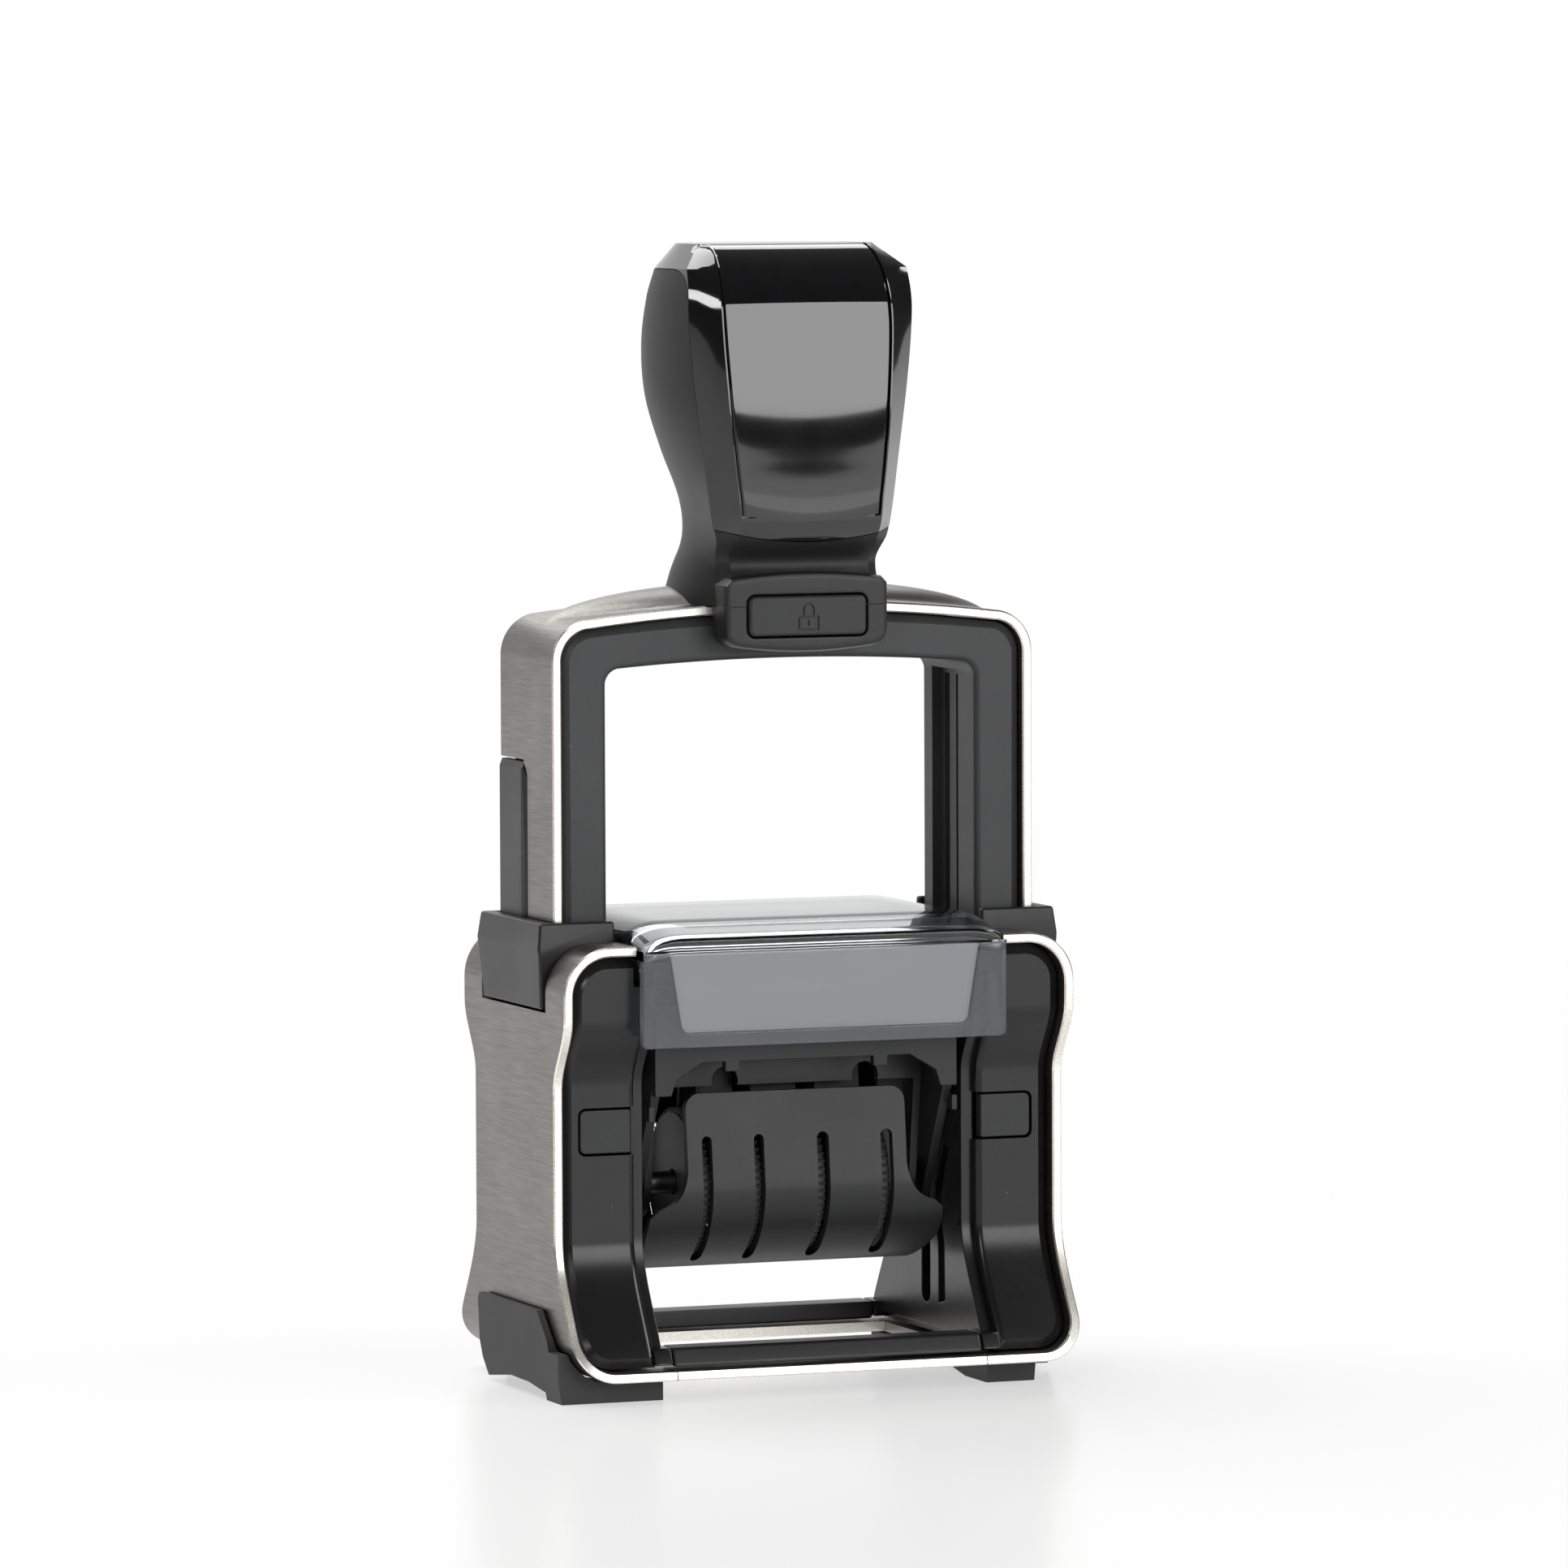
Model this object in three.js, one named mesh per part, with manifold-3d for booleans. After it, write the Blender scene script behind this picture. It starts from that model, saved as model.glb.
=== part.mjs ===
// Self-inking rotary date stamp: a sheet-metal base frame, a sprung upper frame with a handle,
// and a print unit that hangs between them on two pivot pins and turns over as the handle is pressed.
//
// Millimetres. X runs across the stamp, Y from its front to its back and Z up.
// The origin is on the table, under the middle of the base. The stamp is modelled at rest, handle up.

import * as THREE from 'three';
import { mergeVertices } from 'three/addons/utils/BufferGeometryUtils.js';
import Module from 'manifold-3d';

const wasm = await Module();
wasm.setup();

// ---------------------------------------------------------------- driving dimensions

const GAP = 0.3; // running clearance between neighbouring pieces
const ARC_STEPS = 6; // straight steps in a quarter turn

// Base frame: a closed sheet-metal band, 1.3 thick, whose depth swells at the shoulder and the foot.
const BASE = { half: 35.7, bottom: 2.9, top: 59.3, sheet: 1.3, lowRadius: 5.8, topRadius: 6.5 };
const DEPTH = { waist: 15.4, shoulder: 4.3, foot: 8.6 };

// Upper frame: a sheet-metal arch that slides down inside the base.
const ARCH = { half: 33.7, legEnd: 37.5, shoulder: 95.9, radius: 5.5, rise: 3.4, halfDepth: 10.2 };
const DOME = { z: 99.9, radii: [31, 9.9, 5.6] }; // pressed into the top of the arch
const WINDOW = { half: 25.9, top: 94.8, rise: 1.8, radius: 2.2 };
const LINER_HALF_DEPTH = 9.4;
const LEG_CHANNEL = { depth: 26.9, y: [-3.3, 5.9], z: [48, 93.3] }; // groove inside each leg
const RAIL_TOP = 82.5;

// Print unit: it hangs on two pins from the legs and turns over as the upper frame travels down.
const STROKE = 30;
const PIVOT_Z = 41.6; // at rest
const PIN_RADIUS = 1.2;
const PRINT_FACE = 11.2; // text face, above the pivot at rest
const HOLDER = { half: 21.2, halfDepth: 14.3, wall: 1.3, deck: 48.6, top: 51 };
const TEXT_PLATE = { half: 20.5, halfDepth: 12, bottom: 51.3, top: 52.1 };
const BAND_WINDOW = { x: [-12, 18.2], y: [-3.3, 3.3] }; // where the date bands come through to print

// Moulded inner housing of the base.
const WALL = { inner: 22.4, outer: 23.8, top: 53.5 }; // guide wall beside the print unit
const OPENING_HALF = 23.9; // front and rear openings of the base
const POCKET = { halfDepth: 10.7, floor: 5.7 }; // where a leg of the upper frame travels
const FLOOR_OPENING = { half: 22.6, halfDepth: 15.8 }; // where the print reaches the paper
const COLLAR = { bottom: 50.7, half: 12.2, bore: 34.3 };
const BUTTON = { x: [24.6, 31.9], z: [31.9, 37.6], thickness: 1.8, radius: 0.8 };
const PAD = { half: 21.5, halfDepth: 13, bottom: 53.6, top: 57.3 };
const COVER = { half: 25.4, halfDepth: 21.5, bottom: 46, bend: 60.2, top: 62.1, flat: 14.5, wall: 1.5 };

// Date unit.
const AXLE_Z = 26.2;
const AXLE_RADIUS = 1.5;
const SHELL_RADIUS = 11.2; // slotted cover over the wheels, outside
const SHELL_WALL = 1.2;
const SHELL_TOP = 38.8;
const NOSE = { z: 50.4, radius: 1.1 }; // bar that the bands turn over
const WHEEL = { radius: 9.6, width: 1.9, hub: 4.4 };
const WHEEL_X = [-12.65, -5.35, 3.65, 12.65];
const BELT_SPANS = [[-11.4, -6.6], [-4.1, 2.4], [4.9, 11.4], [13.9, 17.6]];

const SPRING = { x: 29.1, y: -5.8, radius: 2, wire: 0.6, bore: 2.4, bottom: 6, top: 84.6 };

// Handle and lock.
const HANDLE = { top: 150, crease: -13.2, bezelBottom: 111.8, capBottom: 146.8 };
const CORE = { half: 8, bottom: 112.3, top: 146 };
const SCREW = { radius: 2, hole: 2.3, head: 3.5, tip: 119, bottom: 97 };
const LOCK = { half: 11.45, front: -15.3, floor: -11.4 };
const LOCK_BUTTON = { half: 8.2, z: [98.9, 104.1], back: -13.5, radius: 0.8 };

// ---------------------------------------------------------------- materials

const material = (colour, roughness, metalness = 0, extra = {}) =>
  new THREE.MeshStandardMaterial({ color: colour, roughness, metalness, ...extra });

const brushedSteel = material(0xa7a29a, 0.38, 1);
const springSteel = material(0x9a9a98, 0.3, 1);
const mouldedBlack = material(0x232324, 0.55);
const softBlack = material(0x1d1d1e, 0.75);
const glossBlack = material(0x0a0a0b, 0.08);
const clearPlastic = material(0xdfe3e6, 0.1, 0, { transparent: true, opacity: 0.35 });
const frostedPlastic = material(0xa9aeb4, 0.45, 0, { transparent: true, opacity: 0.8 });
const felt = material(0x101014, 0.95);
const rubber = material(0x5a3a34, 0.8);

// ---------------------------------------------------------------- solids from three.js geometry

/** Turns a closed three.js geometry into a solid that can be joined and cut. */
function solid(geometry) {
  const bare = geometry.clone();
  bare.deleteAttribute('normal');
  bare.deleteAttribute('uv');
  const merged = mergeVertices(bare, 1e-4);
  const corners = merged.index.array;
  const triangles = [];
  for (let i = 0; i < corners.length; i += 3) {
    const [a, b, c] = [corners[i], corners[i + 1], corners[i + 2]];
    if (a !== b && b !== c && c !== a) triangles.push(a, b, c);
  }
  return new wasm.Manifold(new wasm.Mesh({
    numProp: 3,
    vertProperties: new Float32Array(merged.attributes.position.array),
    triVerts: new Uint32Array(triangles),
  }));
}

// Far side of a cutting block that runs clear of the whole stamp.
const FAR = 80;

const AXIS_X = new THREE.Vector3(1, 0, 0);
const AXIS_Y = new THREE.Vector3(0, 1, 0);
const AXIS_Z = new THREE.Vector3(0, 0, 1);

// An outline is drawn in (Y, Z), (X, Z) or (X, Y), and pushed along the axis that is left.
const PUSH = {
  x: new THREE.Matrix4().makeBasis(AXIS_Y, AXIS_Z, AXIS_X),
  y: new THREE.Matrix4().makeBasis(AXIS_X, AXIS_Z, AXIS_Y.clone().negate()),
  z: new THREE.Matrix4(),
};

/** An outline of [u, v] points pushed along an axis, from one coordinate to another. */
function prism(axis, points, a, b) {
  const [low, high] = [Math.min(a, b), Math.max(a, b)];
  const shape = new THREE.Shape(points.map(([u, v]) => new THREE.Vector2(u, v)));
  const geometry = new THREE.ExtrudeGeometry(shape, { depth: high - low, bevelEnabled: false });
  geometry.translate(0, 0, axis === 'y' ? -high : low);
  geometry.applyMatrix4(PUSH[axis]);
  return solid(geometry);
}

/** A box between two corners' coordinates, in any order. */
function block([x0, x1], [y0, y1], [z0, z1]) {
  const geometry = new THREE.BoxGeometry(Math.abs(x1 - x0), Math.abs(y1 - y0), Math.abs(z1 - z0));
  geometry.translate((x0 + x1) / 2, (y0 + y1) / 2, (z0 + z1) / 2);
  return solid(geometry);
}

/** Points of an arc about [u, v], from one angle to another in degrees. */
function arc(u, v, radius, from, to, steps = ARC_STEPS) {
  return Array.from({ length: steps + 1 }, (_, i) => {
    const angle = THREE.MathUtils.degToRad(from + ((to - from) * i) / steps);
    return [u + radius * Math.cos(angle), v + radius * Math.sin(angle)];
  });
}

/** Points of a full circle. */
const circle = (u, v, radius, sides = 20) => arc(u, v, radius, 0, 360, sides).slice(0, -1);

/** A round bar along an axis, centred on [u, v]. */
const rod = (axis, [u, v], radius, from, to, sides) => prism(axis, circle(u, v, radius, sides), from, to);

/** A rectangle with one radius on its lower corners and one on its upper corners. */
function roundedRect([u0, u1], [v0, v1], low, high = low) {
  return [
    ...arc(u1 - low, v0 + low, low, -90, 0),
    ...arc(u1 - high, v1 - high, high, 0, 90),
    ...arc(u0 + high, v1 - high, high, 90, 180),
    ...arc(u0 + low, v0 + low, low, 180, 270),
  ];
}

/** Points of a quadratic curve between two ends, bent towards a control point. */
function bend(start, control, end, steps) {
  const vectors = [start, control, end].map(([u, v]) => new THREE.Vector2(u, v));
  return new THREE.QuadraticBezierCurve(...vectors).getPoints(steps).map((p) => [p.x, p.y]);
}

/** The same outline on the other side of the stamp, when side is -1. */
const handed = (side, points) => points.map(([u, v]) => [side * u, v]);

const join = (...parts) => parts.reduce((sum, part) => sum.add(part));
const cut = (body, ...tools) => tools.reduce((left, tool) => left.subtract(tool), body);

/** A named mesh from a solid. */
function piece(name, body, look) {
  const { vertProperties, triVerts } = body.getMesh();
  const geometry = new THREE.BufferGeometry();
  geometry.setAttribute('position', new THREE.BufferAttribute(new Float32Array(vertProperties), 3));
  geometry.setIndex(new THREE.BufferAttribute(new Uint32Array(triVerts), 1));
  const mesh = new THREE.Mesh(geometry, look);
  mesh.name = name;
  return mesh;
}

const SIDES = [['left', -1], ['right', 1]];
const FACES = [['front', -1], ['rear', 1]];

// ---------------------------------------------------------------- base frame

/** Half of the base's depth at a height: narrow at the waist, wide at the shoulder and the foot. */
function halfDepth(z) {
  const shoulder = THREE.MathUtils.smoothstep(z, 40.5, 49.8);
  const foot = 1 - THREE.MathUtils.smoothstep(z, 1, 21);
  return DEPTH.waist + DEPTH.shoulder * shoulder + DEPTH.foot * foot;
}

/** The base's waisted side view as a solid across the whole width, set in by a wall. */
function waisted(inset) {
  const heights = [0, 3, 6, 9, 12, 15, 18, 21, 40.5, 42.5, 44.5, 46.5, 48, 49.8, 62];
  const front = heights.map((z) => [inset - halfDepth(z), z]);
  const rear = heights.map((z) => [halfDepth(z) - inset, z]).reverse();
  return prism('x', [...front, ...rear].reverse(), -40, 40);
}

/** The base band's front view, set in from its outer face. */
function baseOutline(inset) {
  const half = BASE.half - inset;
  return roundedRect([-half, half], [BASE.bottom + inset, BASE.top - inset],
    BASE.lowRadius - inset, BASE.topRadius - inset);
}

/** Notch in the shoulder that takes one collar. */
const collarNotch = (side) => block([0, side * FAR], [-COLLAR.half - GAP, COLLAR.half + GAP],
  [COLLAR.bottom - GAP, FAR]);

/** Closed steel band of the base, open on top for the cover and the arch, and below for the print. */
function makeLowerBand() {
  const ring = cut(prism('y', baseOutline(0), -FAR, FAR), prism('y', baseOutline(BASE.sheet), -FAR, FAR));
  const coverHalf = COVER.half + GAP;
  const { half, halfDepth: openingDepth } = FLOOR_OPENING;
  return cut(
    ring.intersect(waisted(0)),
    block([-coverHalf, coverHalf], [-FAR, FAR], [COVER.bottom, FAR]),
    collarNotch(1),
    collarNotch(-1),
    block([-half, half], [-openingDepth, openingDepth], [0, BASE.bottom + 2 * BASE.sheet]),
  );
}

/** One moulded half of the inner housing: front and rear cheeks, joined by a guide wall and a floor. */
function makeHousing(side) {
  const across = (from, to) => [side * from, side * to];
  const all = [-FAR, FAR];
  const inFront = prism('y', baseOutline(BASE.sheet + GAP), -FAR, FAR).intersect(waisted(1.4));
  const cheeks = cut(inFront, block([-side * FAR, side * OPENING_HALF], all, [0, FAR]));
  const wall = block(across(WALL.inner, 28), all, [4.5, WALL.top]).intersect(waisted(2.8));
  const coverEdge = COVER.half + GAP;
  const coverFaces = FACES.map(([, face]) =>
    block(across(0, coverEdge), [face * 18, face * FAR], [COVER.bottom - GAP, FAR]));
  const slotHalf = PIN_RADIUS + GAP;
  const pinSlot = roundedRect([-slotHalf, slotHalf], [PIVOT_Z - STROKE - 3, PIVOT_Z + 2.6], 1.4);
  return cut(
    join(cheeks, wall),
    block(across(WALL.outer, FAR), [-POCKET.halfDepth, POCKET.halfDepth], [POCKET.floor, FAR]),
    block(across(0, coverEdge), all, [WALL.top + GAP, FAR]),
    ...coverFaces,
    collarNotch(side),
    block(across(0, 21.9), all, [0, 8]),
    block(across(0, 24.2), [-FLOOR_OPENING.halfDepth, FLOOR_OPENING.halfDepth], [0, POCKET.floor - GAP]),
    prism('x', pinSlot, ...across(20, 25)),
    buttonForm(side, GAP, -FAR, -10),
    block(across(WALL.outer, 28), [-FAR, -10], [BUTTON.z[0] - GAP, BUTTON.z[1] + GAP]),
  );
}

/** A release button's outline, grown by a gap, as a solid between two depths. */
function buttonForm(side, grow, from, to) {
  const [x0, x1] = BUTTON.x;
  const [z0, z1] = BUTTON.z;
  const outline = roundedRect([x0 - grow, x1 + grow], [z0 - grow, z1 + grow], BUTTON.radius);
  return prism('y', handed(side, outline), from, to);
}

/** Release button in the front cheek, pushed in to free the ink cartridge. */
function makeReleaseButton(side) {
  const front = 1.2 - DEPTH.waist;
  return buttonForm(side, 0, front, front + BUTTON.thickness);
}

/** Bar across the foot of the opening, at the front or the rear. */
function makeSill(face) {
  const bar = block([-21.6, 21.6], [face * 17.2, face * FAR], [BASE.bottom + BASE.sheet + GAP, 6.9]);
  const tick = prism('z', [[-1, face * 26], [1, face * 26], [0, face * 22.3]], 0, 10);
  return cut(bar.intersect(waisted(0.6)), tick);
}

/** Moulded collar that guides one leg of the upper frame through the shoulder of the base. */
function makeCollar(side) {
  const sideView = [[-11.2, 50.7], [11.2, 50.7], [12.2, 58.8], [11.7, 62], [-11.7, 62], [-12.2, 57.8]];
  const frontView = [[25.8, 50.7], [35.9, 50.7], [36.5, 58.6], [36.1, 62], [25.8, 62]];
  const outside = prism('x', sideView, side * 20, side * FAR)
    .intersect(prism('y', handed(side, frontView), -FAR, FAR));
  const bore = ARCH.halfDepth + GAP;
  return cut(outside, block([0, side * COLLAR.bore], [-bore, bore], [0, FAR]));
}

/** Foot that hugs the lower corner of the band: one long toe, and one short toe set further in. */
function makeFoot(side) {
  const frontView = [[20, 0], [36.4, 0], [36.9, 3], [36.9, 11.5], [20, 11.5]];
  const outside = prism('y', handed(side, frontView), -21, 21);
  const cheekView = [[-17.6, 0.6], [-8, 1.7], [-1, 1.8], [8.3, 0.7], [10.8, 5.2], [11.4, 10.6],
    [10.9, 11.5], [-11.8, 11.5], [-12.8, 10.6], [-15.6, 8], [-17, 5]];
  const cheek = prism('x', mirrorFor(side, cheekView), side * 33.4, side * 40);
  const longToe = block([side * 22.4, side * 37], [side * 20, side * 14.2], [0, 6.5]);
  const shortToe = prism('x', mirrorFor(side, [[3, 1.4], [12, 0], [19.5, 0], [20, 2.6], [3, 2.6]]),
    side * 23.2, side * 30);
  const web = block([side * 23.2, side * 36.5], [-side * 3.2, -side * 9.5], [1.6, 4]);
  const band = prism('y', baseOutline(-GAP), -30, 30);
  return cut(join(cheek, longToe, shortToe, web).intersect(outside), band);
}

/** The long toe of the left foot points forward and that of the right foot back. */
const mirrorFor = (side, points) => points.map(([u, v]) => [-side * u, v]);

// ---------------------------------------------------------------- cover and ink cartridge

const coverProfile = (inset) => {
  const { halfDepth: half, bend: low, top, flat } = COVER;
  return [[inset - half, COVER.bottom - 5], [half - inset, COVER.bottom - 5], [half - inset, low - inset],
    [flat, top - inset], [-flat, top - inset], [inset - half, low - inset]];
};

/** Clear top window with its rear face; the front face belongs to the ink cartridge. */
function makeClearCover() {
  const half = COVER.half;
  const outside = prism('x', coverProfile(0), -half, half);
  const shell = cut(outside, prism('x', coverProfile(COVER.wall), -half, half));
  return cut(shell, block([-FAR, FAR], [-FAR, FAR], [0, COVER.bottom]),
    block([-FAR, FAR], [-FAR, COVER.wall + GAP - COVER.halfDepth], [0, COVER.bend - COVER.wall]));
}

/** Front face of the cartridge: the clear grip that is pulled to take it out. */
function makeCartridgeGrip() {
  const front = -COVER.halfDepth;
  const face = block([-COVER.half, COVER.half], [front, front + COVER.wall], [COVER.bottom, 58.4]);
  const inset = [[-19.3, 48], [19.3, 48], [21.5, 58], [-21.5, 58]];
  const rib = block([-18, 18], [front + COVER.wall - 0.1, -18.8], [55, 56.6]);
  return join(cut(face, prism('y', inset, front - 1, front + 0.5)), rib);
}

/** Tray of the ink cartridge, open below. */
function makePadTray() {
  const outline = [[-18.5, 54.2], [18.5, 54.2], [18.5, 57.8], [17, 58.4], [-17, 58.4], [-18.5, 57.8]];
  const [half, halfDepth] = [PAD.half + 0.4, PAD.halfDepth + 0.4];
  return cut(prism('x', outline, -23.2, 23.2),
    block([-half, half], [-halfDepth, halfDepth], [0, PAD.top + GAP]));
}

const makeInkPad = () => block([-PAD.half, PAD.half], [-PAD.halfDepth, PAD.halfDepth],
  [PAD.bottom, PAD.top]);

// ---------------------------------------------------------------- upper frame

/** Front view of the arch, set in from its outer face and open at the leg ends. */
function archOutline(inset, legEnd = ARCH.legEnd) {
  const half = ARCH.half - inset;
  const radius = ARCH.radius - inset;
  const corner = ARCH.half - ARCH.radius;
  const shoulderTop = ARCH.shoulder + radius;
  return [
    [half, legEnd],
    ...arc(corner, ARCH.shoulder, radius, 0, 85),
    ...bend([corner, shoulderTop], [0, shoulderTop + ARCH.rise], [-corner, shoulderTop], 10),
    ...arc(-corner, ARCH.shoulder, radius, 95, 180),
    [-half, legEnd],
  ];
}

/** The shallow dome pressed into the top of the arch under the handle, grown by an offset. */
function dome(offset) {
  const [x, y, z] = DOME.radii.map((radius) => radius + offset);
  const geometry = new THREE.SphereGeometry(1, 24, 12);
  geometry.rotateX(Math.PI / 2);
  geometry.scale(x, y, z);
  geometry.translate(0, 0, DOME.z);
  return solid(geometry);
}

/** Steel arch with the pressed dome; its legs are cut back for the side rails. */
function makeUpperBand() {
  const outside = join(prism('y', archOutline(0), -ARCH.halfDepth, ARCH.halfDepth), dome(0));
  const railNotches = SIDES.map(([, side]) =>
    block([side * 31, side * FAR], [-0.4, FAR], [0, RAIL_TOP + GAP]));
  return cut(outside, prism('y', archOutline(BASE.sheet, 20), -FAR, FAR), screwHole(), ...railNotches);
}

const screwHole = () => rod('z', [0, 0], SCREW.hole, 0, SCREW.tip + GAP, 16);

/** Moulded liner of the arch: two legs and a bridge round the window. */
function makeUpperLiner() {
  const window = [
    [WINDOW.half, 20],
    ...arc(WINDOW.half - WINDOW.radius, WINDOW.top - WINDOW.radius, WINDOW.radius, 0, 85, 4),
    ...bend([23, WINDOW.top], [0, WINDOW.top + WINDOW.rise], [-23, WINDOW.top], 6),
    ...arc(WINDOW.radius - WINDOW.half, WINDOW.top - WINDOW.radius, WINDOW.radius, 95, 180, 4),
    [-WINDOW.half, 20],
  ];
  const body = prism('y', archOutline(BASE.sheet + GAP), -LINER_HALF_DEPTH, LINER_HALF_DEPTH);
  const perLeg = SIDES.flatMap(([, side]) => [
    block([side * 20, side * LEG_CHANNEL.depth], LEG_CHANNEL.y, LEG_CHANNEL.z),
    rod('z', [side * SPRING.x, SPRING.y], SPRING.bore, 0, SPRING.top + GAP, 12),
    rod('x', [0, PIVOT_Z], PIN_RADIUS + GAP, side * 24, side * 31.3, 12),
  ]);
  const screwHead = rod('z', [0, 0], SCREW.head + GAP, 0, SCREW.bottom + 2 + GAP, 16);
  return cut(body, prism('y', window, -FAR, FAR), screwHole(), screwHead, ...perLeg);
}

/** Black rail set into the rear half of each leg. */
function makeRail(side) {
  const plan = [[32.5, 0], [33.7, 0], [34.1, 0.9], [34.1, 9.6], [33.6, 10.2], [32.5, 10.2]];
  const frontView = [[32, ARCH.legEnd], [35, ARCH.legEnd], [35, RAIL_TOP - 0.9], [33.6, RAIL_TOP],
    [32, RAIL_TOP]];
  return prism('z', handed(side, plan), ARCH.legEnd, RAIL_TOP)
    .intersect(prism('y', handed(side, frontView), -FAR, FAR));
}

/** Coil spring in a leg, as the plain tube that its turns fill. */
function makeReturnSpring(side) {
  const { radius, wire, bottom, top } = SPRING;
  const inner = radius - wire;
  const profile = [[inner, bottom], [radius, bottom], [radius, top], [inner, top], [inner, bottom]];
  const geometry = new THREE.LatheGeometry(profile.map(([r, z]) => new THREE.Vector2(r, z)), 14);
  geometry.rotateX(Math.PI / 2);
  geometry.translate(side * SPRING.x, SPRING.y, 0);
  return solid(geometry);
}

// ---------------------------------------------------------------- handle

/** Smooth curve through [offset, height] points, as an outline from the lowest to the highest. */
function smooth(points, steps) {
  const curve = new THREE.SplineCurve(points.map(([u, v]) => new THREE.Vector2(u, v)));
  return curve.getPoints(steps).map((p) => [p.x, p.y]);
}

/** The whole handle as one solid: front view, side view and plan, each cutting the others. */
function handleForm() {
  const flank = smooth([[14.3, 102.5], [13.2, 106.5], [11.9, 110.5], [12.3, 115], [14.3, 122], [16.2, 130],
    [16.9, 137], [16.7, 143]], 16);
  const halfFront = [...flank, [15.8, 147], [12.4, HANDLE.top]];
  const frontView = [...halfFront, ...handed(-1, halfFront).reverse()];
  const face = smooth([[-11, 102.5], [-11.6, 106.5], [-13, 109.4], [-15.6, 111], [-16.9, 114], [-16.6, 130],
    [-15.8, 141]], 14);
  const back = smooth([[12.6, 143], [15, 137], [15.3, 130], [13.6, 122], [11.8, 115], [10.6, 109.5],
    [10.4, 102.5]], 12);
  const sideView = [...face, [-13.6, 146.5], [-10.4, 149.2], [-8.5, HANDLE.top], [7, HANDLE.top], [10, 148],
    ...back];
  const plan = [
    [11.9, -17], [15.9, HANDLE.crease],
    ...bend([16.6, -10], [17.6, 9], [12.6, 12.4], 5),
    ...bend([10.5, 13.8], [0, 17], [-10.5, 13.8], 4),
    ...bend([-12.6, 12.4], [-17.6, 9], [-16.6, -10], 5),
    [-15.9, HANDLE.crease], [-11.9, -17],
  ];
  return prism('y', frontView, -20, 20)
    .intersect(prism('x', sideView, -20, 20))
    .intersect(prism('z', plan, 90, 160));
}

const FORM = handleForm();

/** Space in front of the crease and above the cap line, where the glossy bezel sits. */
const bezelSpace = (grow) => join(
  block([-20, 20], [-20, HANDLE.crease + grow], [HANDLE.bezelBottom - grow, 160]),
  block([-20, 20], [-20, 20], [HANDLE.capBottom - grow, 160]),
);

/** Space of the label strip: it tapers down the face and runs back over the top. */
function labelSpace(grow) {
  const frontView = [[-9.9 - grow, 115 - grow], [0, 114.2 - grow], [9.9 + grow, 115 - grow],
    [11.9 + grow, 140], [11.4 + grow, 155], [-11.4 - grow, 155], [-11.9 - grow, 140]];
  const sideView = [[-20, 110], [-15.3 + grow, 110], [-15.3 + grow, 130], [-14.6 + grow, 141],
    [-12.4 + grow, 145.6 - grow], [-9.6, 147.9 - grow], [-7.5, 148.8 - grow], [6 + grow, 148.8 - grow],
    [6 + grow, 155], [-20, 155]];
  return prism('y', frontView, -20, 20).intersect(prism('x', sideView, -20, 20));
}

/** Soft matte grip: neck, flanks and back of the handle, hollow inside for the core. */
function makeGrip() {
  const half = CORE.half + GAP;
  return cut(FORM, bezelSpace(GAP), labelSpace(GAP), prism('y', archOutline(-GAP, 60), -FAR, FAR), dome(GAP),
    block([-half, half], [-half, half], [CORE.bottom - GAP, 2 * FAR]), screwHole());
}

/** Glossy bezel that frames the label and caps the handle. */
const makeBezel = () => cut(FORM.intersect(bezelSpace(0)), labelSpace(GAP));

const makeLabelPanel = () => FORM.intersect(labelSpace(0));

/** Rigid core inside the grip that takes the screw. */
function makeHandleCore() {
  const { half, bottom, top } = CORE;
  return cut(block([-half, half], [-half, half], [bottom, top]), screwHole());
}

/** Screw that pulls the handle down on the arch. */
const makeHandleScrew = () => join(rod('z', [0, 0], SCREW.head, SCREW.bottom, SCREW.bottom + 2, 16),
  rod('z', [0, 0], SCREW.radius, SCREW.bottom + 1, SCREW.tip, 12));

// ---------------------------------------------------------------- lock

function lockButtonForm(grow, from, to) {
  const { half, z: [z0, z1], radius } = LOCK_BUTTON;
  return prism('y', roundedRect([-half - grow, half + grow], [z0 - grow, z1 + grow], radius), from, to);
}

/** Housing of the lock button, in front of the arch under the handle. */
function makeLockHousing() {
  const view = [
    ...bend([-LOCK.half, 99.6], [-LOCK.half, 97.4], [-8, 97.2], 3),
    ...bend([-7, 97.1], [0, 96.3], [7, 97.1], 4),
    ...bend([8, 97.2], [LOCK.half, 97.4], [LOCK.half, 99.6], 3),
    [LOCK.half, 105.6],
    ...bend([10.6, 106.5], [0, 107.9], [-10.6, 106.5], 6),
    [-LOCK.half, 105.6],
  ];
  const body = prism('y', view, LOCK.front, -ARCH.halfDepth - GAP);
  const neck = FORM.add(dome(GAP));
  const clearOfNeck = join(neck, neck.translate([0, -GAP, 0]), neck.translate([0, 0, GAP]));
  return cut(body, lockButtonForm(GAP, -FAR, LOCK.floor), clearOfNeck);
}

const lockCentre = [0, (LOCK_BUTTON.z[0] + LOCK_BUTTON.z[1]) / 2];

/** Button that locks the upper frame half-way down, hollow behind for its spring. */
const makeLockButton = () => cut(lockButtonForm(0, LOCK.front - 0.3, LOCK_BUTTON.back),
  rod('y', lockCentre, 1.8, LOCK_BUTTON.back - 1.3, LOCK_BUTTON.back + 1, 12));

/** Small coil spring behind the lock button, as a plain bar of its pressed length. */
const makeLockSpring = () => rod('y', lockCentre, 1.4, LOCK_BUTTON.back + GAP, LOCK.floor - GAP, 10);

// ---------------------------------------------------------------- print unit

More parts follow.
